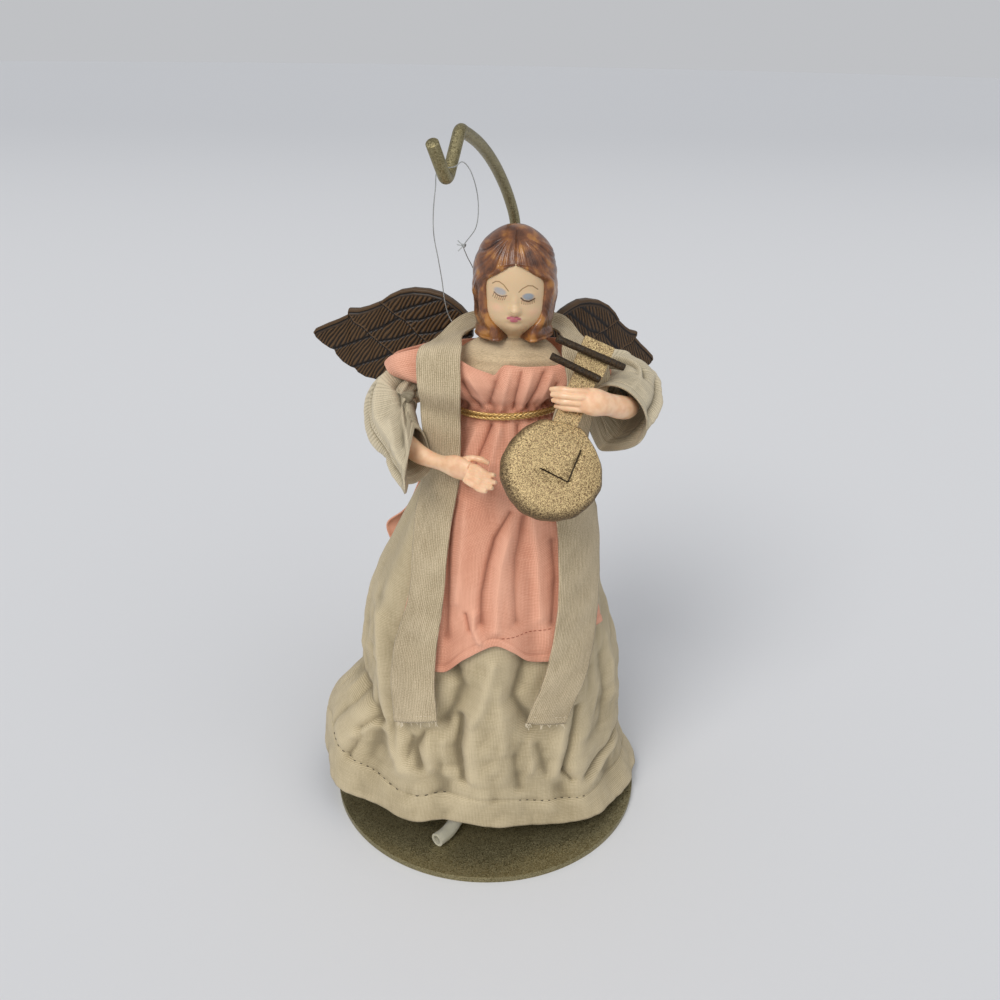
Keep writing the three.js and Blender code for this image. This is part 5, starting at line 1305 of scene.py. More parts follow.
# %% The sleeves
def sleeve_surface(rows, folds_pressed, across, droop, ruck, pinch, over, inside, reach, bulge, seed):
    middle = at([row[:3] for row in rows])
    keys = np.linspace(0, 1, len(rows))
    line = curve(middle, np.linspace(0, 1, 81))
    along, up, _ = frames_along(line)
    length = length_of(line)

    def surface(u, v):
        a = 2 * pi * u
        place = np.clip(v, 0, 1) * 80
        i = np.minimum(place.astype(int), 79)
        w = (place - i)[..., None]
        tall, way = unit(mix(up[i], up[i + 1], w)), unit(mix(along[i], along[i + 1], w))
        flank = np.cross(tall, way)
        radius = through(keys, [row[3] for row in rows], v) * figure_height
        folds = 1 + ruck * np.sin(pi * v) * 0.5 * (np.cos(3 * a + 9 * v) + np.cos(14 * v + a))
        low = np.where(np.cos(a) < 0, 1 + droop * step(0.55, 1, v), 1)
        narrow = 1 - pinch * np.maximum(-np.cos(a), 0) ** 2.5 * step(0.3, 1, v)
        x, y = a * 8 * mm, v * length
        back = (1 - v) * length
        hem = 0.2 * mm * step(3.6 * mm, 2.8 * mm, back) - 0.3 * mm * bump(back, 3.0 * mm, 0.4 * mm)
        worn = (0.3 * mm * waves(x, y, 11 * mm, seed)
            - 0.35 * mm * np.abs(waves(x, y * 2.4, 10 * mm, seed + 1)))
        around = np.degrees(a)
        for shift in (0, -360):
            worn = worn + strokes(around + shift, y, folds_pressed, 8 * mm)
        held = step(0, 0.1, v) * step(1, 0.9, v) * step(0, 0.08, np.sin(a / 2))
        grown = radius * folds + hem + worn * held
        shorter = inside * np.maximum(np.sin(a), 0) * step(0.55, 1, v)
        beyond = (abs(reach) * np.maximum(np.sign(reach) * np.sin(a), 0) ** 0.8
            + over * np.maximum(np.cos(a), 0)) * mm * step(0.45, 1, v)
        inner = bulge * mm * np.maximum(np.sin(a), 0) * bump(v, 0.58, 0.3)
        return (curve(middle, np.clip(v - shorter, 0, 1)) + way * beyond[..., None]
            + tall * (grown * low * np.cos(a))[..., None]
            + flank * (grown * across * narrow * np.sin(a) + inner)[..., None])
    return surface


# across: width to height of the tube; droop: how much deeper the cuff hangs; ruck: crosswise
# gathers; pinch: how narrow it runs to its low edge; over and reach: mm by which the cuff's top
# and its near side go beyond the line; inside: share cut back at the body; bulge: mm added there
sleeve_shapes = {
    "sleeve_right": dict(rows=sleeve_right, across=0.74, droop=0.08, ruck=0.04, pinch=0.92,
        over=14.0, inside=0.1, reach=-7.0, bulge=9.0, seed=41),
    "sleeve_left": dict(rows=sleeve_left, across=0.9, droop=0.4, ruck=0.04, pinch=0.6,
        over=0.0, inside=0.0, reach=0.0, bulge=0.0, seed=47),
}
for name, shape in sleeve_shapes.items():
    surface = sleeve_surface(folds_pressed=sleeve_folds[name], **shape)
    garment(name, surface, 200, 170, linen_sage, "sage_linen", "gathered", ["arm_wire", "torso"],
        closed=True)

# %% [markdown]
# ## The head
#
# The head is one resin casting, but hair and face are painted apart, so they are two shells
# that meet at the hairline.

# %% The head's outline
head_centre = np.array([0.0343, 0.0])
head_levels = [1, 0.9975, 0.99, 0.979, 0.966, 0.949, 0.932, 0.915, 0.898, 0.881, 0.865, 0.852, 0.842,
    0.836, 0.834, 0.82, 0.7965]
head_tables = {
    "hair half": [0.02, 0.24, 0.48, 0.69, 0.84, 0.945, 0.985, 1, 1, 0.975, 0.945, 0.92, 0.9, 0.86, 0.35,
        0.343, 0.343],
    "hair front": [0.02, 0.26, 0.48, 0.68, 0.83, 0.945, 0.97, 0.95, 0.92, 0.89, 0.87, 0.85, 0.83, 0.78,
        0.35, 0.343, 0.343],
    "hair back": [0.02, 0.22, 0.44, 0.64, 0.79, 0.9, 0.945, 0.95, 0.93, 0.9, 0.88, 0.87, 0.86, 0.82,
        0.35, 0.343, 0.343],
    "face half": [0.02, 0.24, 0.46, 0.64, 0.76, 0.82, 0.84, 0.84, 0.835, 0.81, 0.72, 0.56, 0.37, 0.345,
        0.343, 0.343, 0.343],
    "face front": [0.02, 0.24, 0.46, 0.66, 0.8, 0.9, 0.955, 0.955, 0.93, 0.93, 0.86, 0.62, 0.4, 0.345,
        0.343, 0.343, 0.343],
}
open_keys = [0.834, 0.842, 0.852, 0.862, 0.872, 0.89, 0.91, 0.925, 0.931, 0.938, 0.949, 0.953]
open_shares = [0.3, 0.33, 0.36, 0.45, 0.56, 0.63, 0.665, 0.65, 0.56, 0.38, 0.1, -0.2]
# Side shift, height, spread across, spread up, how far out
face_bumps = [(0, 0.886, 0.095, 0.0062, 0.13), (0, 0.898, 0.06, 0.009, 0.05),
    (0, 0.874, 0.15, 0.0035, 0.06), (0, 0.859, 0.2, 0.006, 0.06), (-0.33, 0.906, 0.13, 0.006, 0.03),
    (0.33, 0.906, 0.13, 0.006, 0.03)]
hair_half_width = 14.6 * mm


def oval(a, share, half, front):
    at_share = lambda table: through(head_levels[::-1], head_tables[table][::-1], share)
    return 1 / np.hypot(np.sin(a) / at_share(half), np.cos(a) / at_share(front))


def hair_radius(a, share):
    return np.where(np.cos(a) > 0, oval(a, share, "hair half", "hair front"),
        oval(a, share, "hair half", "hair back"))


def face_radius(a, share):
    face = oval(a, share, "face half", "face front")
    total = face
    for side, height, across, up, out in face_bumps:
        total = total + out * bump(face * np.sin(a), side, across) * bump(share, height, up)
    return total


def head_point(a, share, radius):
    out = radius * hair_half_width
    flat = head_centre * figure_height + ellipse(a, out, out)
    height = height_at(share)
    return np.concatenate([flat, height[..., None]], axis=-1)


def strands(a, share):
    """Carved hair, from 0 in a groove to 1 on a ridge. It fans out from the crown and then hangs."""
    across = hair_radius(a, share) * np.sin(a)
    fan = np.arctan2(np.sign(across) * np.abs(across) ** 1.5, (0.987 - share) * 13 + 0.05)
    hang = step(0.15, -0.25, np.cos(a))
    wobble = 0.035 * np.sin(share * 60 + 4 * a) + 0.015 * np.sin(share * 130 - 3 * a)
    total = 0
    for count, amount, phase in ((6, 0.48, 0.4), (13, 0.34, 1.9), (29, 0.18, 0.7)):
        front = 1 - np.abs(np.sin(count * (fan + wobble) + phase)) ** 0.8
        back = 1 - np.abs(np.sin(count * 0.62 * (a + wobble * 0.8) + phase)) ** 0.8
        total = total + amount * (1 - mix(front, back, hang))
    return mix(0.62, total, step(0.988, 0.972, share))


print("the hair is", round(2 * hair_half_width / mm, 1), "mm wide")

# %% [markdown]
# Curve strands would look like real hair, and this is a casting: its locks are waves in one
# skin, parted in the middle and deepest where they fan out from the crown. At the face the
# skin dives under the face's own shell.

# %% The hair
def hair_opening(a, share, radius):
    return radius * np.sin(a), through(open_keys, open_shares, share)


def hair_surface(u, v):
    a = 2 * pi * u - pi
    share = mix(1.0, 0.834, v**1.6)
    radius = hair_radius(a, share)
    across, opening = hair_opening(a, share, radius)
    front = np.cos(a) > 0
    inside = step(opening + 0.035, opening - 0.035, np.abs(across)) * front
    relief = 0.075 * (strands(a, share) - 0.6)
    parting = -0.07 * np.exp(-np.abs(across) / 0.03) * step(0.0, 0.3, np.cos(a))
    parting = parting * step(0.94, 0.955, share) * step(1, 0.985, share)
    lobe = 0.075 * bump(np.abs(across) - opening, 0.13, 0.1) * front * step(0.962, 0.948, share)
    curl = 0.03 * bump(share, 0.843, 0.0055) * (1 + 0.5 * np.sin(5 * a + 1)) * step(0.5, 0.9, np.abs(a))
    tuck = -0.03 * step(0.865, 0.85, share) * step(0.848, 0.856, share)
    radius = radius + (relief + parting + lobe + curl + tuck) * step(0.0, 0.12, v)
    sunk = face_radius(a, share) - 0.2
    return head_point(a, share, mix(radius, np.minimum(sunk, radius), inside))


hair, _, _ = sheet_piece("hair_shell", hair_surface, 520, 320, closed=True, thickness=0)
spot = points_of(hair)
hair_share = (spot[:, 2] - plate_thickness) / figure_height
hair_angle = np.arctan2(spot[:, 0] - head_centre[0] * figure_height,
    -(spot[:, 1] - head_centre[1] * figure_height))
attribute(hair, "strand", strands(hair_angle, hair_share))

# %% [markdown]
# The face has a small nose, soft cheeks and a narrow chin. A smooth oval with a few round
# swellings gives the soft look of a worn mould.

# %% The face
def face_surface(u, v):
    a = (2 * u - 1) * radians(114)
    share = mix(0.962, 0.7965, v)
    radius = face_radius(a, share)
    across, opening = hair_opening(a, share, radius)
    hidden = step(opening - 0.01, opening + 0.07, np.abs(across)) * step(0.832, 0.838, share)
    return head_point(a, share, radius - 0.22 * hidden)


face, _, _ = sheet_piece("face_and_neck", face_surface, 300, 340, thickness=0.8 * mm, hold=-1.0)

# %% [markdown]
# The features are painted on with a small brush: closed lids, lashes, thin brows and rose
# lips, with a painted shadow under the nose. They are colours on the points, laid on as strokes of
# (across, height) in mm.

# %% Painted features
spots = points_of(face)[:, [0, 2]] / mm
front_side = points_of(face)[:, 1] < -6 * mm
colours = np.tile(np.array(linear(0.87, 0.745, 0.585)), (len(spots), 1))


def brush(distance, width, soft, colour, strength=1.0):
    share = (step(width + soft, width - soft, distance) * strength * front_side)[:, None]
    colours[:] = mix(colours, np.array(linear(*colour)), share)


def stroke(points, width, soft, colour, strength=1.0):
    brush(from_line(points, *spots.T)[0], width, soft, colour, strength)


def oval_distance(centre, across, up, lean):
    d = spots - np.array(centre)
    c, s = cos(radians(lean)), sin(radians(lean))
    return np.hypot((d[:, 0] * c + d[:, 1] * s) / across, (-d[:, 0] * s + d[:, 1] * c) / up)


lash, brow = (0.42, 0.24, 0.12), (0.48, 0.34, 0.14)
for centre in ((1.8, 209.6), (14.2, 208.2)):
    brush(oval_distance(centre, 3.2, 2.6, 0), 0.5, 0.5, (0.95, 0.74, 0.62), 0.55)
brush(oval_distance((2.9, 215.4), 2.5, 1.35, -14), 0.85, 0.25, (0.63, 0.64, 0.66), 0.85)
brush(oval_distance((12.4, 213.8), 2.3, 1.35, -3), 0.85, 0.2, (0.55, 0.59, 0.63), 0.95)
stroke([(0.9, 214.9), (2.0, 214.1), (3.5, 213.75), (5.2, 214.1)], 0.16, 0.1, (0.3, 0.17, 0.1))
stroke([(10.0, 213.4), (11.0, 212.5), (12.6, 212.1), (14.6, 212.9)], 0.24, 0.12, (0.13, 0.08, 0.07))
stroke([(0.3, 217.7), (1.4, 218.5), (2.6, 218.6), (4.1, 217.7), (5.7, 215.7)], 0.14, 0.1, brow)
stroke([(9.2, 215.4), (10.4, 216.6), (12.2, 217.5), (13.8, 217.3), (15.6, 215.9)], 0.14, 0.1, brow)
for k in range(7):
    left, right = 0.9 + 0.66 * k, 10.4 + 0.66 * k
    low = 214.6 - 0.28 * k + 0.03 * k * k
    stroke([(left, low), (left - 0.45, low - 1.35 - 0.15 * (k % 2))], 0.1, 0.08, lash)
    low = 212.9 - 0.28 * k + 0.05 * k * k
    stroke([(right, low), (right + 0.05 * (k - 3), low - 1.5)], 0.1, 0.08, lash)
stroke([(5.7, 206.4), (7.0, 206.85), (7.7, 206.45), (8.5, 206.85), (9.8, 206.2)], 0.42, 0.18,
    (0.7, 0.33, 0.4))
brush(oval_distance((7.75, 205.7), 1.55, 0.75, -2), 0.92, 0.18, (0.78, 0.42, 0.48))
stroke([(5.8, 206.2), (7.7, 206.1), (9.7, 206.05)], 0.06, 0.08, (0.5, 0.22, 0.3), 0.8)
# Painted shadow under the nose: a soft brownish arc.
stroke([(6.6, 208.9), (7.6, 208.5), (8.7, 208.8)], 0.12, 0.2, (0.66, 0.47, 0.33), 0.6)
attribute(face, "painted", colours)
print("features painted on", len(spots), "points")

# %% [markdown]
# The hair is a chestnut coat, painted darker in its grooves as painted shade and amber on its
# ridges as painted highlight, with amber patches too, under a gloss. The face is ivory.

# %% Paint on the head
hair_paint = Finish("chestnut_hair", roughness=0.36, Coat_Weight=0.4, Coat_Roughness=0.18)
carved = hair_paint.stored("strand")
grain = hair_paint.noise(hair_paint.place, 0.6 * mm, 4.0, 0.6, stretch=(1.6, 1.6, 0.3))
patch = hair_paint.noise(hair_paint.place, 4.5 * mm, 3.0)
# Painted shade and highlight: the tone follows the carved strands, darker in the grooves and lighter on
# the ridges, with random grain and patches.
tone = (carved * 0.42 + grain * 0.45 + patch * 1.2 - 0.58).between(0.05, 0.95)
warm = tone.toward((0.2, 0.088, 0.04), (0.6, 0.37, 0.205))
amber_patch_and_highlight = (patch * 1.5 + carved * 0.45 - 1.06).between(0.0, 0.35) * 0.7
hair_paint.colour(amber_patch_and_highlight.toward(warm, (0.72, 0.5, 0.22)))
hair_paint.relief(carved * 0.7 + grain * 0.35, 0.14 * mm)
dress(hair, hair_paint)

face_paint = Finish("painted_face", roughness=0.4, Subsurface_Weight=0.1, Subsurface_Scale=0.003,
    Coat_Weight=0.2, Coat_Roughness=0.3)
painted = face_paint.stored("painted", "Color")
mottled = face_paint.noise(face_paint.place, 2.2 * mm, 3.0).between(0.35, 0.75)
face_paint.colour((mottled * 0.1).toward(painted, (0.86, 0.72, 0.56)))
face_paint.relief(face_paint.noise(face_paint.place, 0.7 * mm, 3.0), 0.02 * mm)
dress(face, face_paint)
for piece in (hair, face):
    stands_for(piece, "head", "figure")
print("hair and face are painted")

# %% [markdown]
# ## Hands
#
# The forearms are soft vinyl: a tapered wrist, a flat palm and slim fingers. They are blocked
# out as tapered limbs and then fused into one skin.

# %% Forearms and hands
wrist = 2.7 * mm
right_arm = [(-0.158, -0.034, 0.699), (-0.13, -0.075, 0.686), (-0.104, -0.1, 0.6755),
    (-0.072, -0.122, 0.672), (-0.045, -0.141, 0.673), (-0.026, -0.156, 0.673)]
right_fingers = [
    [(-0.04, -0.137, 0.682), (-0.022, -0.146, 0.69), (-0.01, -0.15, 0.689), (0.001, -0.153, 0.685)],
    [(-0.03, -0.15, 0.679), (-0.014, -0.163, 0.681), (-0.002, -0.174, 0.677), (0.01, -0.183, 0.68)],
    [(-0.03, -0.156, 0.674), (-0.014, -0.17, 0.673), (-0.001, -0.182, 0.671), (0.012, -0.193, 0.673)],
    [(-0.031, -0.16, 0.669), (-0.016, -0.174, 0.666), (-0.004, -0.186, 0.664), (0.007, -0.197, 0.666)],
    [(-0.034, -0.162, 0.664), (-0.021, -0.174, 0.66), (-0.011, -0.184, 0.658), (-0.002, -0.193, 0.659)]
]
left_arm = [(0.213, -0.034, 0.737), (0.207, -0.075, 0.747), (0.1915, -0.115, 0.761),
    (0.169, -0.1385, 0.7735), (0.1476, -0.1524, 0.7819), (0.1275, -0.1545, 0.7867)]
left_fingers = [
    [(0.1441, -0.1524, 0.7952), (0.1182, -0.1588, 0.7999), (0.1003, -0.1545, 0.8003),
        (0.0853, -0.1459, 0.7978)],
    [(0.1441, -0.1567, 0.7893), (0.1169, -0.1631, 0.7925), (0.1004, -0.1588, 0.7929),
        (0.0869, -0.1481, 0.7904)],
    [(0.1446, -0.1567, 0.7804), (0.1187, -0.1631, 0.7837), (0.1021, -0.1588, 0.7841),
        (0.0886, -0.1481, 0.7823)],
    [(0.1452, -0.1545, 0.7722), (0.1221, -0.1609, 0.7741), (0.1055, -0.1567, 0.7745),
        (0.0933, -0.1459, 0.7726)]
]


def limb(points, sizes, flatness, sides=32, steps=60):
    t = np.linspace(0, 1, steps)
    keys = np.linspace(0, 1, len(sizes))
    line = curve(at(points), t)
    return tube(line, through(keys, sizes, t), sides, through(keys, flatness, t))


def hand(name, arm, arm_sizes, arm_flat, fingers):
    finger = 0.44 * wrist
    knuckled = [finger * share for share in (1, 1.05, 0.86, 1.0, 0.84, 0.62)]
    parts = [limb(arm, [s * wrist for s in arm_sizes], arm_flat)]
    parts += [limb(row, knuckled, [1] * 6, 20, 40) for row in fingers]
    tip = [finger * share for share in (0.62, 0.66, 0.5, 0.2)]
    tips = [tube(curve(at(row), np.array([0.94, 0.97, 1.0, 1.02])), tip, 16) for row in fingers]
    obj = mesh_piece(name, *gather(parts + tips))
    apply(obj, "REMESH", mode="VOXEL", voxel_size=0.22 * mm)
    apply(obj, "SMOOTH", factor=0.5, iterations=3)
    finish_object(obj)
    dress(obj, hand_resin)
    return obj


right_hand = hand("right_forearm_and_hand", right_arm, [0.7, 1.35, 1.25, 1, 1.62, 1.2],
    [1, 1, 1, 0.95, 0.62, 0.6],
    right_fingers)
left_hand = hand("left_forearm_and_hand", left_arm, [0.7, 1.35, 1.5, 1.42, 1.72, 1.45],
    [1, 1, 1, 0.95, 0.75, 0.62],
    left_fingers)
print("hands:", len(right_hand.data.polygons), "and", len(left_hand.data.polygons), "faces")

# %% [markdown]
# ## The lute
#
# The lute is a flat toy cut from board and rolled in gold glitter. It leans back in the
# angel's left hand, so its pieces are drawn flat, in a frame of their own.

# %% The lute's frame
lute_centre = at((0.0885, -0.203, 0.6965))
tilt, turn, lean = radians(38), radians(10), radians(-17)
lute_out = np.array([sin(turn) * cos(tilt), -cos(turn) * cos(tilt), sin(tilt)])
lute_side = np.array([cos(turn), sin(turn), 0.0])
lute_up = np.cross(lute_out, lute_side)
lute_x = lute_side * cos(lean) + lute_up * sin(lean)
lute_y = -lute_side * sin(lean) + lute_up * cos(lean)
print("the lute leans back by", round(math.degrees(tilt)), "degrees")


def on_lute(points):
    """Points in the lute's own frame: across, up the neck, out of its face, in metres."""
    p = np.asarray(points, float)
    return lute_centre + p[..., :1] * lute_x + p[..., 1:2] * lute_y + p[..., 2:3] * lute_out


# %% [markdown]
# The soundbox is a board with sixteen blunt corners, its front edge rounded off, with its edge
# and sides painted darker as painted shade. A bevel would be even; rings of the real outline, each a
# little smaller, are not.

# %% The soundbox
box_outline = [(90, 1.02), (66, 1.06), (40, 0.98), (18, 1.0), (-6, 1.03), (-28, 1.0), (-50, 1.0),
    (-72, 0.97), (-92, 0.98), (-114, 1.0), (-136, 0.98), (-160, 1.0), (178, 1.0), (156, 0.98),
    (134, 1.0), (112, 1.05)]
box_half, box_thickness, box_bevel = 17 * mm, 6.4 * mm, 1.2 * mm
face_inset = 2.4 * mm
corners = np.array([[cos(radians(a)) * s, sin(radians(a)) * s] for a, s in box_outline]) * box_half
rim = np.array([mix(a, b, t) for a, b in zip(corners, np.roll(corners, -1, axis=0))
        for t in np.linspace(0.14, 0.86, 7)])


def box_ring(inset, height):
    """One ring of the soundbox, whose face lies a little up and to the right of its middle."""
    scale = 1 - inset / box_half
    shift = np.array([0.9, 1.0]) * mm * np.clip(inset / face_inset, 0, 1) * (height > 0)
    return np.hstack([rim * scale + shift, np.full((len(rim), 1), height)])


half = box_thickness / 2
profile = [
    (box_half * 0.98, -half), (box_bevel * 1.6, -half), (box_bevel * 1.1, -half + 0.05 * mm),
    (0.5 * box_bevel, -half + 0.35 * box_bevel), (0, -half + box_bevel), (0, half - face_inset),
    (0.4 * mm, half - 1.7 * mm), (1.9 * mm, half - 0.3 * mm), (face_inset, half),
    (box_half * 0.5, half), (box_half * 0.95, half)
]
soundbox = mesh_piece("lute_soundbox", *ring_loft([on_lute(box_ring(i, h)) for i, h in profile]))
print("soundbox:", len(soundbox.data.polygons), "faces")

# %% [markdown]
# The neck sits in a notch of the box, and the hand is moulded round it. The same block, a
# little grown, cuts the notch and the grip, so that all three fit.

# %% The neck, its notch and the scored lines
neck_start, neck_length, neck_lean = 0.72 * box_half, 36 * mm, radians(-11)
grip = neck_start + 0.41 * neck_length  # the neck leans about the hand that holds it


def lute_block(grown):
    width, wide = 4.05 * mm + grown, 5.45 * mm + grown
    peg, top = 0.35 * neck_length, neck_start + neck_length + grown
    shape = [(-width, neck_start - grown), (width, neck_start - grown), (width, top - peg),
        (wide, top - 0.9 * peg), (wide, top),
        (-wide, top), (-wide, top - 0.9 * peg), (-width, top - peg)]
    thick = 3.2 * mm + 2 * grown
    low = half - box_bevel - thick + grown
    c, s = cos(neck_lean), sin(neck_lean)
    flat = [(x * c - (y - grip) * s + 0.2 * box_half, x * s + (y - grip) * c + grip) for x, y in shape]
    rings = [[(x, y, z) for x, y in flat] for z in (low, low + thick)]
    return mesh_piece("lute_neck_piece", *ring_loft([on_lute(r) for r in np.array(rings)]), smooth=False)


def cut_away(obj, tool):
    apply(obj, "BOOLEAN", object=tool, operation="DIFFERENCE", solver="EXACT", material_mode="TRANSFER")
    bpy.data.objects.remove(tool)
    return obj


dress(soundbox, glitter_gold)
cut_away(soundbox, lute_block(gap))
line_ends = [(-4.2, -0.8), (5.6, -3.2), (7.8, 8.4)]
for start, end in zip(line_ends, line_ends[1:]):
    groove = np.array([(*start, half / mm), (*end, half / mm)]) * mm
    cut_away(soundbox, dress(mesh_piece("groove", *tube(on_lute(groove), 0.26 * mm, 8)), glitter_dark))
apply(soundbox, "TRIANGULATE")
finish_object(soundbox, False)
neck = lute_block(0.0)
apply(neck, "BEVEL", width=0.35 * mm, segments=2, limit_method="ANGLE", angle_limit=radians(40))
finish_object(neck, False)
cut_away(left_hand, lute_block(gap))
dress(neck, glitter_gold)
for obj, node in ((soundbox, "lute_body"), (neck, "lute_neck")):
    # Painted shade: the rim attribute marks the soundbox's rounded edge and side walls, which its glitter
    # paints darker; the neck gets none.
    face_height = (points_of(obj) - lute_centre) @ lute_out
    worn = step(half - 0.1 * mm, half - 0.9 * mm, face_height)
    attribute(obj, "rim", worn if obj is soundbox else 0 * worn)
    stands_for(obj, node, "left_forearm")
print("lute:", len(soundbox.data.polygons), "faces")

# %% [markdown]
# Two round sticks lie across the neck in place of tuning pegs, a little uneven along their
# length and rounded at both ends.

# %% The two dark sticks
stick_length = 25 * mm
# Share up the neck, slant in degrees, then shift and length as shares of the longer stick
sticks = {"lute_bar_upper": (0.83, -10, 0.186, 1), "lute_bar_lower": (0.65, -13, 0.026, 0.73)}
for node, (share, slant, shift, run) in sticks.items():
    length, radius = stick_length * run, 1.3 * mm
    middle = np.array([shift * stick_length, neck_start + share * neck_length,
            half - box_bevel + gap + radius])
    way = np.array([cos(radians(slant)), sin(radians(slant)), 0])
    places = np.concatenate([[-0.5, -0.49, -0.475], np.linspace(-0.45, 0.45, 40), [0.475, 0.49, 0.5]])
    sizes = np.concatenate([[0.72, 0.9, 0.98], 0.97 + 0.03 * np.sin(np.arange(40) * 2.1),
            [0.98, 0.9, 0.72]]) * radius
    stick = mesh_piece(node + "_stick",
        *tube(on_lute(middle + places[:, None] * length * way), sizes, 24))
    dress(stick, glitter_dark)
    stands_for(stick, node, "left_forearm")
for obj, node, body in ((right_hand, "forearm_right", "right_forearm"),
        (left_hand, "forearm_left", "left_forearm")):
    stands_for(obj, node, body)
print("sticks and hands are in place")

# %% [markdown]
# ## The wings
#
# Each wing is one moulding of dark bronze plastic in three tiers. A tier has a smooth double
# rim along its top and rows of vanes with curved barbs below it. Both come from one pattern:
# the right one is mirrored, swept back and turned down.

# %% The wings' pattern
wing_span, wing_thickness, tier_step = 60 * mm, 1.4 * mm, 0.7 * mm
wing_end = 1.067  # of the span, where the tip lies
barb_pitch = 2.1 * mm
# Shares of the span: out from the root, and up
wing_top = np.array([
        (0, 0.085), (0.074, 0.161), (0.131, 0.201), (0.196, 0.237), (0.278, 0.255), (0.377, 0.257),
        (0.461, 0.239), (0.537, 0.202), (0.598, 0.157), (0.684, 0.119), (0.745, 0.1), (0.812, 0.096),
        (0.822, 0.055), (0.895, 0.017), (0.967, -0.014), (1.048, -0.054), (1.067, -0.081)
    ])
wing_bottom = np.array([
        (0, -0.03), (0.06, -0.1), (0.2, -0.21), (0.36, -0.31), (0.5, -0.37), (0.6, -0.38),
        (0.669, -0.361),
        (0.722, -0.354), (0.773, -0.328), (0.794, -0.301), (0.824, -0.293), (0.876, -0.263),
        (0.917, -0.219), (0.929, -0.187), (0.959, -0.179), (1.01, -0.149), (1.052, -0.113),
        (1.067, -0.081)
    ])
tier_edges = [
    [(0.83, 0.12), (0.819, 0.064), (0.783, 0.008), (0.724, -0.021), (0.675, -0.068), (0.625, -0.106),
        (0.574, -0.144), (0.524, -0.183), (0.46, -0.25), (0.4, -0.4)],
    [(0.612, 0.19), (0.598, 0.153), (0.557, 0.123), (0.499, 0.078), (0.441, 0.05), (0.4, 0.012),
        (0.358, -0.035), (0.317, -0.065), (0.25, -0.13), (0.17, -0.3)]
]
# Under each row of vanes lies a groove; these are each tier's grooves, from its top down
vane_grooves = [
    [[(0.55, -0.03), (0.693, -0.086), (0.79, -0.127), (0.897, -0.17), (1.0, -0.205)],
        [(0.44, -0.14), (0.524, -0.174), (0.629, -0.225), (0.744, -0.269), (0.85, -0.315)],
        [(0.4, -0.26), (0.6, -0.345), (0.75, -0.405)]],
    [[(0.4, 0.09), (0.5, 0.045), (0.595, -0.011), (0.691, -0.052), (0.78, -0.095)],
        [(0.3, 0.0), (0.384, -0.029), (0.504, -0.08), (0.625, -0.106), (0.7, -0.13)],
        [(0.24, -0.08), (0.36, -0.13), (0.5, -0.185), (0.6, -0.22)],
        [(0.2, -0.17), (0.36, -0.24), (0.5, -0.29)]],
    [[(0.05, 0.22), (0.213, 0.196), (0.296, 0.166), (0.397, 0.135), (0.499, 0.095), (0.6, 0.05)],
        [(0.03, 0.16), (0.131, 0.141), (0.214, 0.107), (0.34, 0.057), (0.466, 0.044), (0.56, 0.03)],
        [(0.02, 0.06), (0.149, 0.022), (0.257, -0.019), (0.358, -0.035), (0.45, -0.06)],
        [(0.02, -0.02), (0.14, -0.07), (0.26, -0.12), (0.36, -0.16)]]
]
print("rows of vanes in each tier:", [len(tier) for tier in vane_grooves])

# %% [markdown]
# The relief is worked out point by point: the tier it lies on, the row of vanes, and how far
# it is along its barb. A displacement texture would blur the small steps.

# %% The wings' relief
def vanes(grooves, p, q):
    """Relief of one tier's rows of vanes, from 0 in a groove to 1 on a barb."""
    lines = []
    for groove in grooves:
        places, heights = np.array(groove).T
        before, after = np.maximum(places[0] - p, 0), np.maximum(p - places[-1], 0)
        lines.append(np.interp(p, places, heights) + 0.35 * before - 0.4 * after)
    total, cut = np.zeros(p.shape), np.zeros(p.shape)
    ceiling = np.full(p.shape, np.inf)
    for k, line in enumerate(lines + [lines[-1] - 0.12]):
        inside = (q >= line) & (q < ceiling)
        h = np.maximum(q - line, 0)
        wobble = 0.006 * np.sin(31 * p + 5 * k) + 0.003 * np.sin(83 * p + k)
        phase = (p + 0.55 * h + 2.6 * h * h + wobble) / (barb_pitch / wing_span)
        barb = (0.5 + 0.5 * np.sin(2 * pi * (phase + 0.37 * k))) ** 0.8
        total = np.where(inside, barb * step(0.0, 0.025, h), total)
        cut = np.maximum(cut, bump((q - line) * wing_span, 0, 0.34 * mm))
        ceiling = line
    return total, cut


def wing_relief(p, q):
    """How far the front stands out, and a tone for the paint: high on ridges as painted highlight, low in
    grooves and under tier edges as painted shade.
    """
    # Distance from each tier's edge, above 0 on the root's side of it
    over = [-side * away * wing_span for away, side in (from_line(edge, p, q) for edge in tier_edges)]
    rise = tier_step * (step(-0.12 * mm, 0.1 * mm, over[0]) + step(-0.12 * mm, 0.1 * mm, over[1]))
    layers = [vanes(g, p, q) for g in vane_grooves]
    tier = (over[0] > 0).astype(int) + (over[1] > 0)
    barb = np.choose(tier, [layer[0] for layer in layers])
    cut = np.choose(tier, [layer[1] for layer in layers])
    from_top = (np.interp(p, *wing_top.T) - q) * wing_span * 0.88
    rim = step(1.3 * mm, 1.0 * mm, from_top) + 0.75 * bump(from_top, 2.0 * mm, 0.36 * mm)
    inner = step(2.1 * mm, 2.7 * mm, from_top)
    edge = sum(bump(o, 0.34 * mm, 0.28 * mm) for o in over)
    # Painted shade just below each tier's edge.
    shade = sum(bump(o, -0.3 * mm, 0.3 * mm) for o in over)
    clear = step(0.25 * mm, 0.8 * mm, np.minimum(np.abs(over[0]), np.abs(over[1])))
    ridge = barb * inner * clear * (1 - cut) + rim + 0.85 * edge * (1 - rim)
    out = rise + 0.42 * mm * ridge - 0.25 * mm * cut * inner
    return out, np.clip((ridge - 0.3 * rim) * (1 - 0.6 * shade) * 0.95 - 0.3 * cut * inner, 0, 1)


# %% [markdown]
# The pattern is laid out flat, thickened, closed with a wall, and then turned into place.

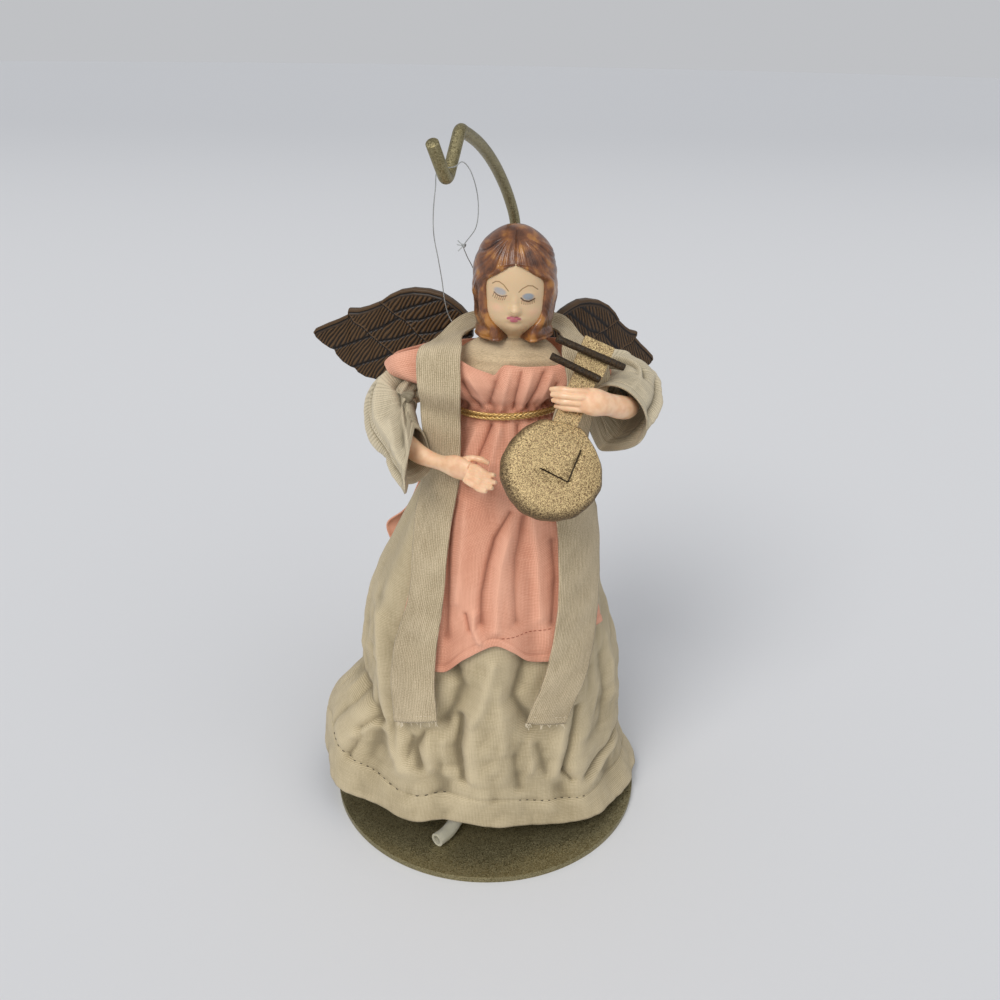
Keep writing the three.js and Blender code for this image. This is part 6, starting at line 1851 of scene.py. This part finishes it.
# %% Laying the pattern out as two wings
def wing(name, root, side, sweep, droop):
    spread = np.unique(np.concatenate([np.linspace(0, wing_end, 300), wing_top[:, 0], wing_bottom[:, 0]]))
    p, v = np.meshgrid(spread, np.linspace(0, 1, 130))
    q = mix(np.interp(p, *wing_bottom.T), np.interp(p, *wing_top.T), v)
    out, ridge = wing_relief(p, q)
    edge = np.minimum(np.minimum(v, 1 - v) * np.ptp(q, axis=0), wing_end - p) * wing_span
    front = -wing_thickness / 2 - out * step(-0.1 * mm, 0.35 * mm, edge)
    back = wing_thickness / 2 - 0.3 * mm * step(0.5 * mm, 0, edge)
    sheets = [np.stack([p * wing_span, depth, q * wing_span], axis=-1).reshape(-1, 3)
        for depth in (front, back)]
    n, index = p.size, np.arange(p.size).reshape(p.shape)
    ring = np.concatenate([index[0], index[1:, -1], index[-1, -2::-1], index[-2:0:-1, 0]])
    cell, below = index[:-1, :-1].ravel(), index[1:, :-1].ravel()
    quads = np.stack([cell, cell + 1, below + 1, below], axis=1)
    following = np.roll(ring, -1)
    border = np.stack([ring, following, following + n, ring + n], axis=1)
    points = np.vstack(sheets)
    c, s = cos(droop), sin(droop)
    points = points @ np.array([[c, 0, -s], [0, 1, 0], [s, 0, c]])
    c, s = cos(sweep), sin(sweep)
    points = points @ np.array([[c, s, 0], [-s, c, 0], [0, 0, 1]])
    obj = mesh_piece(name + "_moulding", points * (side, 1, 1) + at(root),
        np.vstack([quads, quads[:, ::-1] + n, border]))
    attribute(obj, "ridge", np.concatenate([ridge.ravel(), np.full(n, 0.35)]))
    dress(obj, wing_plastic)
    stands_for(obj, name, "figure")
    print(name, len(obj.data.polygons), "faces")


wing("wing_left", (-0.03, 0.09, 0.812), -1, radians(12), 0)
wing("wing_right", (0.088, 0.09, 0.812), 1, radians(40), radians(15))

# %% [markdown]
# The clear tube is the sleeve of a light lead. It runs down inside the skirt and its open
# end comes out under the hem.

# %% The clear tube and the hidden core
cone_centre = at((0.0107, 0.0043, 0))
cone_top = height_at(0.629) - gap
tube_shares = [(0.008, 0.616), (0.004, 0.5), (0, 0.375), (-0.004, 0.245), (-0.008, 0.15)]
tube_radius, bore_radius = 2.75 * mm, 1.7 * mm
down = []
for x, z in tube_shares:
    height = height_at(z)
    cone_here = mix(27, 7, (height - plate_thickness) / (cone_top - plate_thickness)) * mm
    down.append((x * figure_height, cone_centre[1] - cone_here - tube_radius - gap - 0.5 * mm, height))
tail = at([(-0.022, -0.124, 0.068), (-0.044, -0.158, 0.027), (-0.062, -0.184, 0.0135)])
end = (-0.079 * figure_height, -0.204 * figure_height, plate_thickness + tube_radius + 1.4 * gap)
tube_line = curve(np.vstack([down, tail, end]), np.linspace(0, 1, 160))
n, sides = len(tube_line), 40
outer, _ = tube(tube_line, tube_radius, sides)
inner, _ = tube(tube_line, bore_radius, sides)
faces = wall(n, sides)
faces += [tuple(n * sides + i for i in face[::-1]) for face in faces]
for k in (0, n - 1):
    for s in range(sides):
        t = (s + 1) % sides
        faces.append((k * sides + s, k * sides + t, n * sides + k * sides + t, n * sides + k * sides + s))
clear = mesh_piece("clear_tube_piece", np.vstack([outer[:n * sides], inner[:n * sides]]), faces)
keep_edges(clear, 40)
dress(clear, clear_plastic)
stands_for(clear, "clear_tube", "figure")
for node, finish in (("tree_cone", card_paper), ("torso", foam_core), ("neck_dowel", dowel_wood),
        ("arm_wire", steel_wire), ("wing_bar", wing_plastic)):
    dress(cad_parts[node], finish)
print("tube and core are in place")

# %% [markdown]
# ## Floor, light and camera
#
# The figure stands on a plain pale floor in soft daylight from the upper left.

# %% Floor and light
bpy.ops.mesh.primitive_circle_add(vertices=96, radius=9, fill_type="NGON")
floor = bpy.context.object
floor.name = "floor"
ground = Finish("floor", roughness=0.85, Specular_IOR_Level=0.1)
_, away, _ = ground.place.parts()
ground.colour(away.between(0.3, 3.2).toward((0.878, 0.88, 0.885), (0.805, 0.81, 0.82)))
dress(floor, ground)

world = scene.world = scene.world or bpy.data.worlds.new("World")
world.use_nodes = True
sky = world.node_tree
sky.nodes.clear()
rays, seen, lit, choice, out = (sky.nodes.new("ShaderNode" + kind)
    for kind in ("LightPath", "Background", "Background", "MixShader", "OutputWorld"))
seen.inputs["Color"].default_value = linear(0.752, 0.757, 0.768)
lit.inputs["Color"].default_value = linear(0.86, 0.87, 0.89)
lit.inputs["Strength"].default_value = 0.62
sky.links.new(rays.outputs["Is Camera Ray"], choice.inputs[0])
sky.links.new(lit.outputs[0], choice.inputs[1])
sky.links.new(seen.outputs[0], choice.inputs[2])
sky.links.new(choice.outputs[0], out.inputs[0])


def lamp(name, place, power, **settings):
    """Even light from the side of a place, toward the middle."""
    data = bpy.data.lights.new(name, "SUN")
    data.energy = power
    for key, value in settings.items():
        setattr(data, key, value)
    obj = new_object(name, data)
    turn = (-Vector(place)).to_track_quat("-Z", "Y").to_matrix().to_4x4()
    obj.matrix_world = Matrix.Translation(place) @ turn


lamp("window", (-0.55, -1.0, 1.0), 1.6, angle=radians(30), color=(1.0, 0.99, 0.975))
lamp("ceiling", (0.7, -0.7, 1.0), 0.42, angle=radians(50))
scene.view_settings.view_transform = "Standard"
print("light is set")

# %% [markdown]
# The camera looks slightly down. Its place was measured from the photograph: the round plate
# shows as an oval, and its shape gives the tilt.

# %% Camera
camera_place = (0.0041, -0.3463, 0.2952)
camera_tilt, camera_roll = radians(25.28), radians(0.99)
lens = bpy.data.cameras.new("camera")
lens.sensor_width, lens.lens = 36, 36
lens.clip_start = 0.01
camera = new_object("camera", lens)
camera.matrix_world = (Matrix.Translation(camera_place) @ Matrix.Rotation(pi / 2 - camera_tilt, 4, "X")
    @ Matrix.Rotation(camera_roll, 4, "Z"))
scene.camera = camera
print("camera", camera_place)
